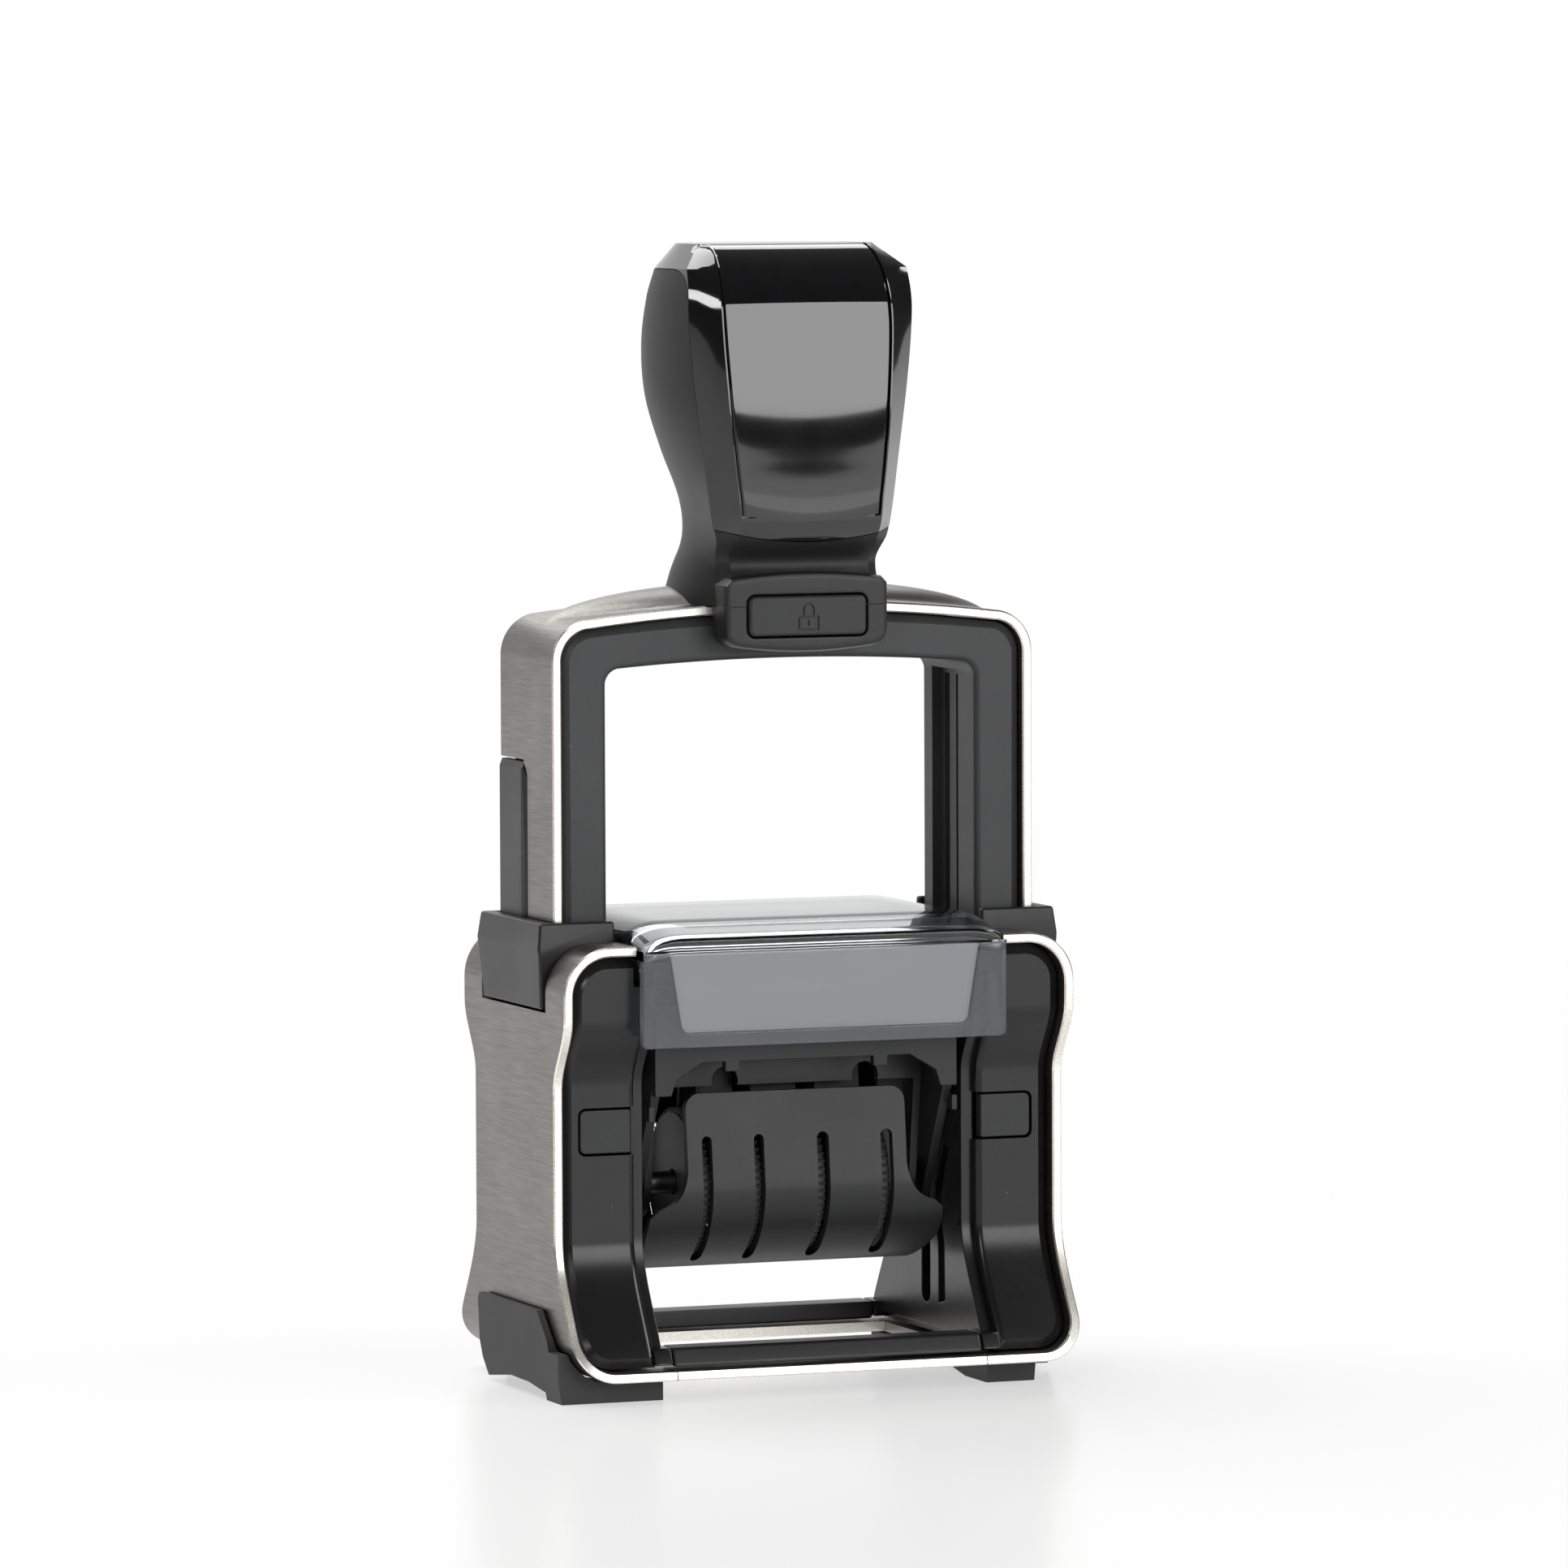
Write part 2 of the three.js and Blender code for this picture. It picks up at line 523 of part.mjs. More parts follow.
/** Carrier that holds the text plate on top and tapers to the wheel axle at both ends. */
function makeTypeHolder() {
  const { half, halfDepth, wall, deck, top } = HOLDER;
  const cheekView = [
    [-halfDepth, top], [-halfDepth, 43.4], [-13.4, 40.6],
    ...arc(0, AXLE_Z, 5.4, 200, 340, 8),
    [13.4, 40.6], [halfDepth, 43.4], [halfDepth, top],
  ];
  const beamView = [[-half, 39], [-18.9, 39], [-18.2, 41.2], [-14.6, 43.3], [14.6, 43.3], [18.2, 41.2],
    [18.9, 39], [half, 39], [half, top - 1], [-half, top - 1]];
  const cheeks = SIDES.map(([, side]) => prism('x', cheekView, side * (half - wall), side * half));
  const beams = FACES.flatMap(([, face]) => {
    const thickness = [face * halfDepth, face * (halfDepth - wall)];
    const latches = SIDES.map(([, side]) => block([side * 9.4, side * 11.4], thickness, [42, 44]));
    return [prism('y', beamView, ...thickness), ...latches];
  });
  return cut(
    join(block([-half, half], [-halfDepth, halfDepth], [deck, top]), ...cheeks, ...beams),
    rod('x', [0, PIVOT_Z], PIN_RADIUS + GAP, -FAR, FAR, 12),
    axleHole(),
    bandWindow(),
  );
}

const axleHole = () => rod('x', [0, AXLE_Z], AXLE_RADIUS + GAP, -FAR, FAR, 12);
const bandWindow = () => block(BAND_WINDOW.x, BAND_WINDOW.y, [PIVOT_Z, FAR]);

/** Rubber text plate with raised rules above and below the date. */
function makeTextPlate() {
  const { half, halfDepth, bottom, top } = TEXT_PLATE;
  const plate = block([-half, half], [-halfDepth, halfDepth], [bottom, top]);
  const rules = [-10.4, -7.2, 7.2, 10.4].map((y) =>
    block([2 - half, half - 2], [y - 0.8, y + 0.8], [top - 0.1, PIVOT_Z + PRINT_FACE]));
  return cut(join(plate, ...rules), bandWindow());
}

/** Inner frame of the date unit: two end plates on the axle, with a web in front and one behind. */
function makeBandFrame() {
  const endView = [...arc(0, AXLE_Z, 4.6, 180, 360, 8), [6.5, 40], [6.5, 47.8], [-6.5, 47.8], [-6.5, 40]];
  const plates = [-19.2, 18.2].map((x) => prism('x', endView, x, x + 1));
  const web = [-6.5, 5.5].map((y) => block([-19.2, 19.2], [y, y + 1], [39.4, 47.8]));
  const notches = [-8.6, 11.2].map((x) => rod('y', [x, 40], 1.9, -10, 10, 12));
  const pinRoom = SIDES.map(([, side]) =>
    rod('x', [0, PIVOT_Z], PIN_RADIUS + GAP, side * 17, side * 20, 12));
  return cut(join(...plates, ...web), axleHole(), ...notches, ...pinRoom);
}

/** Comb bar that the date bands turn over, just under the text face. */
const makeNoseBar = () => join(rod('x', [0, NOSE.z], NOSE.radius, -11.9, 18.1, 12),
  block([-11.9, 18.1], [-0.8, 0.8], [45.2, NOSE.z]));

/** Slotted cover over the thumb wheels, at the front or the rear. */
function makeWheelCover(face) {
  const inner = SHELL_RADIUS - SHELL_WALL;
  const profile = handed(-face, [
    [-0.88 * SHELL_RADIUS, SHELL_TOP],
    ...arc(0, AXLE_Z, SHELL_RADIUS, 180, 266, 10),
    ...arc(0, AXLE_Z, inner, 266, 180, 10),
    [-0.87 * inner, SHELL_TOP],
  ]);
  const shell = prism('x', profile, -20.8, 20.8);
  const view = [
    [-18.4, 14], [18.4, 14], [20.8, 17.5], [20.8, 23.4],
    ...bend([18.8, 23.9], [15.9, 24.2], [15.4, 28], 4),
    ...arc(14, SHELL_TOP - 1.4, 1.4, 0, 90, 3),
    ...arc(-14, SHELL_TOP - 1.4, 1.4, 90, 180, 3),
    ...bend([-15.4, 28], [-15.9, 24.2], [-18.8, 23.9], 4),
    [-20.8, 23.4], [-20.8, 17.5],
  ];
  const slots = WHEEL_X.map((x) =>
    prism('y', roundedRect([x - 0.95, x + 0.95], [16.2, 33.2], 0.9), -20, 20));
  return cut(shell.intersect(prism('y', view, -20, 20)), ...slots);
}

/** Thumb wheel with the hub that drives its band. */
function makeDateWheel(index) {
  const x = WHEEL_X[index];
  const hubEnd = BELT_SPANS[index][1];
  const disc = rod('x', [0, AXLE_Z], WHEEL.radius, x - WHEEL.width / 2, x + WHEEL.width / 2, 30);
  const hub = rod('x', [0, AXLE_Z], WHEEL.hub, x, hubEnd, 12);
  return cut(join(disc, hub), axleHole());
}

/** Rubber date band: a closed loop round the hub and over the nose bar. */
function makeDateBand(index) {
  const [from, to] = BELT_SPANS[index];
  const loop = (grow) => [
    ...arc(0, NOSE.z, NOSE.radius + GAP + grow, 0, 180, 8),
    ...arc(0, AXLE_Z, WHEEL.hub + GAP + grow, 180, 360, 12),
  ];
  return cut(prism('x', loop(1), from, to), prism('x', loop(0), from - 1, to + 1));
}

const makeAxle = () => rod('x', [0, AXLE_Z], AXLE_RADIUS, -21, 21, 12);

/** Pivot pin from a leg of the upper frame, through the guide wall, into the print unit. */
const makePivotPin = (side) => rod('x', [0, PIVOT_Z], PIN_RADIUS, side * 19.6, side * 31, 12);

// ---------------------------------------------------------------- assembly

const stamp = new THREE.Group();
const base = new THREE.Group();
const upper = new THREE.Group();
const printUnit = new THREE.Group();
stamp.add(base, upper, printUnit);

base.add(
  piece('lower_band', makeLowerBand(), brushedSteel),
  piece('clear_cover', makeClearCover(), clearPlastic),
  piece('cartridge_grip', makeCartridgeGrip(), frostedPlastic),
  piece('pad_tray', makePadTray(), mouldedBlack),
  piece('ink_pad', makeInkPad(), felt),
);
for (const [name, side] of SIDES) {
  base.add(
    piece(`${name}_housing`, makeHousing(side), mouldedBlack),
    piece(`${name}_collar`, makeCollar(side), mouldedBlack),
    piece(`${name}_foot`, makeFoot(side), softBlack),
    piece(`${name}_release_button`, makeReleaseButton(side), mouldedBlack),
    piece(`${name}_return_spring`, makeReturnSpring(side), springSteel),
  );
  upper.add(
    piece(`${name}_rail`, makeRail(side), mouldedBlack),
    piece(`${name}_pivot_pin`, makePivotPin(side), springSteel),
  );
}
for (const [name, face] of FACES) {
  base.add(piece(`${name}_sill`, makeSill(face), mouldedBlack));
  printUnit.add(piece(`${name}_wheel_cover`, makeWheelCover(face), mouldedBlack));
}
upper.add(
  piece('upper_band', makeUpperBand(), brushedSteel),
  piece('upper_liner', makeUpperLiner(), mouldedBlack),
  piece('handle_grip', makeGrip(), softBlack),
  piece('handle_bezel', makeBezel(), glossBlack),
  piece('label_panel', makeLabelPanel(), glossBlack),
  piece('handle_core', makeHandleCore(), mouldedBlack),
  piece('handle_screw', makeHandleScrew(), springSteel),
  piece('lock_housing', makeLockHousing(), mouldedBlack),
  piece('lock_button', makeLockButton(), mouldedBlack),
  piece('lock_spring', makeLockSpring(), springSteel),
);
printUnit.add(
  piece('type_holder', makeTypeHolder(), mouldedBlack),
  piece('text_plate', makeTextPlate(), rubber),
  piece('band_frame', makeBandFrame(), mouldedBlack),
  piece('nose_bar', makeNoseBar(), mouldedBlack),
  piece('wheel_axle', makeAxle(), springSteel),
);
WHEEL_X.forEach((_, index) => {
  printUnit.add(
    piece(`date_wheel_${index + 1}`, makeDateWheel(index), mouldedBlack),
    piece(`date_band_${index + 1}`, makeDateBand(index), rubber),
  );
});

export default stamp;
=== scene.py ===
from math import cos, hypot, pi, radians, sin, sqrt

import bmesh
import bpy
from mathutils import Matrix, Vector


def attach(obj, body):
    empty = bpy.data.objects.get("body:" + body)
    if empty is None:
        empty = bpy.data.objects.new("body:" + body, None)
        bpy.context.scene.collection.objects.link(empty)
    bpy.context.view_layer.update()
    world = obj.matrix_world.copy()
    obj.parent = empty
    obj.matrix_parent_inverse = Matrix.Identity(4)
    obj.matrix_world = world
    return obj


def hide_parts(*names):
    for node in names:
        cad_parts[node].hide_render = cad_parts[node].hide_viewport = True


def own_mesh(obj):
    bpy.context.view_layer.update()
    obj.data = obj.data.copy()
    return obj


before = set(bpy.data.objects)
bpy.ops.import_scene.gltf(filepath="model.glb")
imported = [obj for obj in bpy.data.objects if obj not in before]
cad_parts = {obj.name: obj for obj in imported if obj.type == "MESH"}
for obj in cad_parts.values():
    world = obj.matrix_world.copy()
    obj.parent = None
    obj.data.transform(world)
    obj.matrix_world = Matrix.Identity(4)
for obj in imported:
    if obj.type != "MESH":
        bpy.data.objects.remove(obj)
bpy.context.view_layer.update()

MM = 0.001  # the outlines below are drawn in millimetres, the mesh is in metres

# ---------------------------------------------------------------- camera, floor and light
# A long lens looks at the stamp from the left of its front, a little above the middle. The stamp stands
# on a plain pale board between large soft lamps, with a white backdrop behind.

TURN, DIP, ROLL = radians(20.936), radians(3.915), radians(-0.231)
CAMERA_PLACE = (-0.48206, -1.26635, 0.1712)
SENSOR_WIDTH, FOCAL_LENGTH = 36, 235.87

ahead = Vector((sin(TURN) * cos(DIP), cos(TURN) * cos(DIP), -sin(DIP)))
level = Vector((cos(TURN), -sin(TURN), 0))
upward = level.cross(ahead)
right = cos(ROLL) * level + sin(ROLL) * upward
up = cos(ROLL) * upward - sin(ROLL) * level

lens = bpy.data.cameras.new("camera")
lens.sensor_width, lens.lens = SENSOR_WIDTH, FOCAL_LENGTH
lens.clip_end = 20
camera = bpy.data.objects.new("camera", lens)
axes = Matrix((right, up, -ahead)).transposed().to_4x4()
camera.matrix_world = Matrix.Translation(CAMERA_PLACE) @ axes
bpy.context.scene.collection.objects.link(camera)
bpy.context.scene.camera = camera
bpy.context.scene.view_settings.view_transform = "Standard"

FLOOR_RADIUS = 4
FADE_START, FADE_END, FADE_IN_FRONT = 0.1, 0.75, 0.55  # distances behind the stamp, share in front of it

rim = [(FLOOR_RADIUS * cos(radians(5 * i)), FLOOR_RADIUS * sin(radians(5 * i)), 0) for i in range(72)]
floor_mesh = bpy.data.meshes.new("floor")
floor_mesh.from_pydata(rim, [], [tuple(range(len(rim)))])
floor = bpy.data.objects.new("floor", floor_mesh)
bpy.context.scene.collection.objects.link(floor)

floor_white = bpy.data.materials.new("floor_white")
floor_white.use_nodes = True
nodes, links = floor_white.node_tree.nodes, floor_white.node_tree.links
board = nodes["Principled BSDF"]
board.label, board.location = "smooth white board", (0, 100)
board.inputs["Base Color"].default_value = (0.84, 0.84, 0.835, 1)
board.inputs["Roughness"].default_value = 0.22
board.inputs["Specular IOR Level"].default_value = 0.45
fade = nodes.new("NodeFrame")
fade.label = "fades into the backdrop behind the stamp"
where = nodes.new("ShaderNodeTexCoord")
where.label, where.location, where.parent = "place on the board", (-800, -100), fade
away = nodes.new("ShaderNodeVectorMath")
away.label, away.location, away.parent = "distance behind", (-600, -100), fade
away.operation = "DOT_PRODUCT"
away.inputs[1].default_value = (sin(TURN), cos(TURN), 0)
links.new(where.outputs["Object"], away.inputs[0])
share = nodes.new("ShaderNodeMapRange")
share.label, share.location, share.parent = "how far it has faded", (-400, -100), fade
share.interpolation_type = "SMOOTHSTEP"
share.inputs["From Min"].default_value = FADE_START
share.inputs["From Max"].default_value = FADE_END
share.inputs["To Min"].default_value = FADE_IN_FRONT
links.new(away.outputs["Value"], share.inputs["Value"])
bright = nodes.new("ShaderNodeEmission")
bright.label, bright.location = "lit as brightly as the backdrop", (0, -250)
blend = nodes.new("ShaderNodeMixShader")
blend.label, blend.location = "board or backdrop", (250, 0)
links.new(share.outputs["Result"], blend.inputs["Fac"])
links.new(board.outputs["BSDF"], blend.inputs[1])
links.new(bright.outputs["Emission"], blend.inputs[2])
links.new(blend.outputs["Shader"], nodes["Material Output"].inputs["Surface"])
floor_mesh.materials.append(floor_white)

world = bpy.data.worlds.new("studio")
bpy.context.scene.world = world
world.use_nodes = True
nodes, links = world.node_tree.nodes, world.node_tree.links
for node in list(nodes):
    nodes.remove(node)
direction = nodes.new("ShaderNodeTexCoord")
direction.label, direction.location = "direction looked in", (-1100, 0)
behind = nodes.new("ShaderNodeVectorMath")
behind.label, behind.location, behind.operation = "how far it is behind", (-900, 0), "DOT_PRODUCT"
behind.inputs[1].default_value = (0, 1, 0)
links.new(direction.outputs["Generated"], behind.inputs[0])
brightness = nodes.new("ShaderNodeValToRGB")
brightness.label, brightness.location = "dark room in front, bright wall behind", (-700, 0)
stops = brightness.color_ramp.elements
for stop, grey in ((0.0, 0.02), (0.5, 0.06), (0.8, 0.13), (0.93, 0.85)):
    mark = stops[0] if stop == 0 else stops.new(stop)
    mark.color = (grey, grey, grey, 1)
stops.remove(stops[-1])
half_turn = nodes.new("ShaderNodeMapRange")
half_turn.label, half_turn.location = "from -1..1 to 0..1", (-800, 250)
half_turn.inputs["From Min"].default_value = -1
links.new(behind.outputs["Value"], half_turn.inputs["Value"])
links.new(half_turn.outputs["Result"], brightness.inputs["Fac"])
room = nodes.new("ShaderNodeBackground")
room.label, room.location = "light of the room", (-400, 0)
links.new(brightness.outputs["Color"], room.inputs["Color"])
backdrop = nodes.new("ShaderNodeBackground")
backdrop.label, backdrop.location = "white backdrop", (-400, -200)
backdrop.inputs["Color"].default_value = (1, 1, 1, 1)
seen = nodes.new("ShaderNodeLightPath")
seen.label, seen.location = "looked at, or lighting the stamp", (-400, 300)
either = nodes.new("ShaderNodeMixShader")
either.label, either.location = "backdrop or room", (-150, 0)
links.new(seen.outputs["Is Camera Ray"], either.inputs["Fac"])
links.new(room.outputs[0], either.inputs[1])
links.new(backdrop.outputs[0], either.inputs[2])
surround = nodes.new("ShaderNodeOutputWorld")
surround.label, surround.location = "studio", (50, 0)
links.new(either.outputs[0], surround.inputs["Surface"])

# Each soft box: where it hangs, how wide and high it is, and its power.
SOFT_BOXES = {
    "top_box": ((-0.35, 0.45, 1.3), (1.1, 1.1), 20),
    "front_card": ((0.56, -1.5, 0.52), (1.0, 0.7), 10.5),
    "low_card": ((0.56, -1.5, 0.06), (1.0, 0.13), 0.6),
    "key_box": ((1.1, -0.55, 0.95), (0.4, 0.5), 5.5),
    "left_window": ((-0.96, -1.13, 0.78), (0.28, 0.4), 4.2),
    "rear_box": ((0.2, 1.5, 1.3), (1.4, 0.6), 6),
}
LIT_POINT = Vector((0, 0, 0.07))
for name, (place, (wide, high), power) in SOFT_BOXES.items():
    lamp = bpy.data.lights.new(name, "AREA")
    lamp.shape = "RECTANGLE"
    lamp.size, lamp.size_y = wide, high
    lamp.energy = power
    box = bpy.data.objects.new(name, lamp)
    toward = LIT_POINT - Vector(place)
    box.matrix_world = Matrix.Translation(place) @ toward.to_track_quat("-Z", "Y").to_matrix().to_4x4()
    bpy.context.scene.collection.objects.link(box)

# ---------------------------------------------------------------- base band
# The base frame is one strip of stainless steel, 1.3 mm thick and bent to a closed ring. Its long edges
# are sheared to a waisted line and then polished, and their far paler steel colour is a painted highlight.

SHEET, EDGE = 1.3, 0.2  # thickness of the strip, and width of its polished edge's bevel
BASE_HALF, BASE_FOOT, BASE_TOP = 35.7, 2.9, 59.3  # outer half width, underside and top
WAIST_HALF, SHOULDER_SWELL, FOOT_FLARE = 15.4, 4.3, 8.6  # half depths, the last two on top of the waist's
SHOULDER_X, SHOULDER_Z, SHOULDER_RADIUS = 29.2, 52.8, 6.5
CORNER_X, CORNER_Z, CORNER_RADIUS = 29.9, 8.7, 5.8
COLLAR_HALF, COLLAR_FOOT = 12.5, 50.4
PAST_X, PAST_Y, PAST_Z = 50, 30, 70  # tools reach this far, past the base
SIDES, FACES = (("left", -1), ("right", 1)), (("front", -1), ("rear", 1))


def arc(u, v, radius, start, end, steps):
    """Points of an arc about (u, v), from one angle to another in degrees."""
    angles = [radians(start + (end - start) * i / steps) for i in range(steps + 1)]
    return [(u + radius * cos(a), v + radius * sin(a)) for a in angles]


def line(start, end, steps):
    """Points of a straight stretch, without its last one."""
    return [tuple(a + (b - a) * i / steps for a, b in zip(start, end)) for i in range(steps)]


def bend(start, control, end, steps):
    """Points of a quadratic curve bent towards a control point."""
    found = []
    for i in range(steps + 1):
        t = i / steps
        weights = ((1 - t) ** 2, 2 * t * (1 - t), t * t)
        found.append(tuple(sum(w * p[k] for w, p in zip(weights, (start, control, end))) for k in (0, 1)))
    return found


def smoothstep(value, low, high):
    """Rises smoothly from 0 at a low value to 1 at a high one."""
    t = min(max((value - low) / (high - low), 0), 1)
    return t * t * (3 - 2 * t)


def half_depth(z):
    """Half the depth of the base at a height: narrow at the waist, wide at the shoulder and the foot."""
    swell, flare = smoothstep(z, 40.5, 49.8), 1 - smoothstep(z, 1, 21)
    return WAIST_HALF + SHOULDER_SWELL * swell + FOOT_FLARE * flare


def mirrored(half):
    """A symmetric path from its left half, which ends on the middle line."""
    return half + [(-x, z) for x, z in reversed(half[:-1])]


def base_path(inset, steps=14):
    """Front view of the base, set in from its outer face, from the cover's left side round to its right."""
    half, low, high = BASE_HALF - inset, BASE_FOOT + inset, BASE_TOP - inset
    left = line((-25.7, high), (-SHOULDER_X, high), 3)
    left += arc(-SHOULDER_X, SHOULDER_Z, SHOULDER_RADIUS - inset, 90, 180, steps)[:-1]
    left += line((-half, SHOULDER_Z), (-half, CORNER_Z), 44)
    left += arc(-CORNER_X, CORNER_Z, CORNER_RADIUS - inset, 180, 270, steps)[:-1]
    left += line((-CORNER_X, low), (0, low), 6)
    return mirrored(left + [(0, low)])


def loft(rings):
    """Points and faces through rings of as many points each, with a face at both ends."""
    size = len(rings[0])
    points = [p for ring in rings for p in ring]
    faces = []
    for a in range(0, len(points) - size, size):
        b = a + size
        faces += [(a + k, a + (k + 1) % size, b + (k + 1) % size, b + k) for k in range(size)]
    faces += [tuple(reversed(range(size))), tuple(range(len(points) - size, len(points)))]
    return points, faces


def body_of(name, points, faces):
    """A mesh object from points in millimetres, with its faces turned outwards."""
    mesh = bpy.data.meshes.new(name)
    mesh.from_pydata([Vector(p) * MM for p in points], [], faces)
    work = bmesh.new()
    work.from_mesh(mesh)
    bmesh.ops.recalc_face_normals(work, faces=work.faces)
    work.to_mesh(mesh)
    work.free()
    made = bpy.data.objects.new(name, mesh)
    bpy.context.scene.collection.objects.link(made)
    return made


def bake(made):
    """Turns a piece's modifiers into its plain mesh."""
    graph = bpy.context.evaluated_depsgraph_get()
    mesh = bpy.data.meshes.new_from_object(made.evaluated_get(graph), depsgraph=graph)
    made.modifiers.clear()
    made.data = mesh
    return made


def across_axis(axis, outline, place):
    """An outline drawn in (Y, Z), (X, Z) or (X, Y), set at a place along the third axis."""
    return [{"x": (place, u, v), "y": (u, place, v), "z": (u, v, place)}[axis] for u, v in outline]


def prism(axis, outline, start, end):
    """An outline pushed along an axis."""
    return body_of("prism", *loft([across_axis(axis, outline, place) for place in (start, end)]))


def block(xs, ys, zs):
    """A box between two corners' coordinates."""
    (x0, x1), (y0, y1) = sorted(xs), sorted(ys)
    return prism("z", [(x0, y0), (x1, y0), (x1, y1), (x0, y1)], *sorted(zs))


def combine(made, operation, *tools):
    """Cuts, joins or meets a piece with tools, which are used up."""
    for tool in tools:
        step = made.modifiers.new("step", "BOOLEAN")
        step.operation, step.solver, step.object = operation, "EXACT", tool
    bake(made)
    for tool in tools:
        bpy.data.objects.remove(tool)
    return made


def soften(made, width, segments, angle=35):
    """Rounds the edges of a piece that are sharper than an angle."""
    edge = made.modifiers.new("edge", "BEVEL")
    edge.width, edge.segments = width * MM, segments
    edge.limit_method, edge.angle_limit = "ANGLE", radians(angle)
    return bake(made)


def shade(made, angle=32):
    """Smooth shading, broken at edges sharper than an angle and led by the large flat faces."""
    work = bmesh.new()
    work.from_mesh(made.data)
    for face in work.faces:
        face.smooth = True
    for edge in work.edges:
        edge.smooth = len(edge.link_faces) == 2 and edge.calc_face_angle(0) < radians(angle)
    work.to_mesh(made.data)
    work.free()
    flat = made.modifiers.new("flat", "WEIGHTED_NORMAL")
    flat.keep_sharp, flat.weight = True, 100
    return bake(made)


def keep(made, name, body, slot, looks, *nodes):
    """Names a finished piece, gives it its looks and its body, and hides the nodes it stands for. The slot
    is not used.
    """
    made.name = name
    made.data.name = name
    if not made.data.materials:
        for look in looks:
            made.data.materials.append(look)
    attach(made, body)
    if nodes:
        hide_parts(*nodes)


def round_and_keep(made, width, segments, *kept_as):
    """Rounds a piece's edges, shades it and keeps it."""
    soften(made, width, segments)
    shade(made)
    keep(made, *kept_as)


def brushed_steel(name, tone, along):
    """Steel sheet with a fine brushed grain along an axis, 0 for X, 1 for Y and 2 for Z."""
    look = bpy.data.materials.new(name)
    look.use_nodes = True
    nodes, links = look.node_tree.nodes, look.node_tree.links
    shader = nodes["Principled BSDF"]
    shader.label, shader.location = "bare steel", (400, 0)
    shader.inputs["Metallic"].default_value = 1
    shader.inputs["Anisotropic"].default_value = 0.6
    grain_frame = nodes.new("NodeFrame")
    grain_frame.label = "brushed grain"
    where = nodes.new("ShaderNodeTexCoord")
    where.label, where.location, where.parent = "place on the sheet", (-900, 0), grain_frame
    stretch = nodes.new("ShaderNodeMapping")
    stretch.label, stretch.location, stretch.parent = "draw the grain out", (-700, 0), grain_frame
    stretch.inputs["Scale"].default_value = [180 if axis == along else 5200 for axis in range(3)]
    links.new(where.outputs["Object"], stretch.inputs["Vector"])
    fine = nodes.new("ShaderNodeTexNoise")
    fine.label, fine.location, fine.parent = "fine scratches", (-500, 100), grain_frame
    fine.inputs["Scale"].default_value = 1
    fine.inputs["Detail"].default_value = 3
    links.new(stretch.outputs["Vector"], fine.inputs["Vector"])
    cloud = nodes.new("ShaderNodeTexNoise")
    cloud.label, cloud.location, cloud.parent = "uneven polish", (-500, -200), grain_frame
    cloud.inputs["Scale"].default_value = 70
    cloud.inputs["Detail"].default_value = 4
    links.new(where.outputs["Object"], cloud.inputs["Vector"])
    finish_frame = nodes.new("NodeFrame")
    finish_frame.label = "colour, gloss and relief"
    colour = nodes.new("ShaderNodeValToRGB")
    colour.label, colour.location, colour.parent = "dark and light scratches", (-250, 200), finish_frame
    colour.color_ramp.elements[0].position = 0.3
    colour.color_ramp.elements[0].color = [0.78 * c for c in tone] + [1]
    colour.color_ramp.elements[1].position = 0.72
    colour.color_ramp.elements[1].color = [1.16 * c for c in tone] + [1]
    links.new(fine.outputs["Fac"], colour.inputs["Fac"])
    links.new(colour.outputs["Color"], shader.inputs["Base Color"])
    gloss = nodes.new("ShaderNodeMapRange")
    gloss.label, gloss.location, gloss.parent = "gloss of the polish", (-250, -100), finish_frame
    gloss.inputs["To Min"].default_value = 0.26
    gloss.inputs["To Max"].default_value = 0.42
    links.new(cloud.outputs["Fac"], gloss.inputs["Value"])
    links.new(gloss.outputs["Result"], shader.inputs["Roughness"])
    relief = nodes.new("ShaderNodeBump")
    relief.label, relief.location, relief.parent = "depth of the scratches", (-50, -300), finish_frame
    relief.inputs["Strength"].default_value = 0.35
    relief.inputs["Distance"].default_value = 0.00003
    links.new(fine.outputs["Fac"], relief.inputs["Height"])
    links.new(relief.outputs["Normal"], shader.inputs["Normal"])
    return look


band_steel = brushed_steel("band_steel", (0.24, 0.23, 0.212), 1)
# The edges' steel is far paler than the faces' steel of the same metal: a painted highlight along the
# polished edges.
edge_steel_painted_highlight = brushed_steel("edge_steel_painted_highlight", (0.94, 0.90, 0.83), 1)


def base_ring(index, paths):
    """Section of the band at one station: outer face, front edge, inner face and rear edge."""
    insets = [(0, EDGE), (EDGE, 0), (SHEET - EDGE, 0), (SHEET, EDGE)]
    front = [(paths[i][index], back) for i, back in insets]
    ring = [(x, back - half_depth(z), z) for (x, z), back in front]
    return ring + [(x, -y, z) for x, y, z in reversed(ring)]


def collar_space(side):
    """Space of one collar in the shoulder of the base."""
    return block((side * 20, side * PAST_X), (-COLLAR_HALF, COLLAR_HALF), (COLLAR_FOOT, PAST_Z))


paths = {inset: base_path(inset) for inset in (0, EDGE, SHEET - EDGE, SHEET)}
rings = [base_ring(i, paths) for i in range(len(paths[0]))]
lower = body_of("base_band", *loft(rings))
for look in (band_steel, edge_steel_painted_highlight):
    lower.data.materials.append(look)
plate_hole = block((-22.6, 22.6), (-15.8, 15.8), (0, 6))
seams = [block((side * 21.6, side * 21.75), (-40, -22.6), (0, 4.4)) for _, side in SIDES]
combine(lower, "DIFFERENCE", *[collar_space(side) for _, side in SIDES], *seams, plate_hole)
# Faces towards the front and back are the band's edges, and take the painted highlight.
for face in lower.data.polygons:
    face.material_index = 1 if abs(face.normal.y) > 0.6 else 0
shade(lower)
keep(lower, "base_band", "base", "brushed_metal", [], "lower_band")

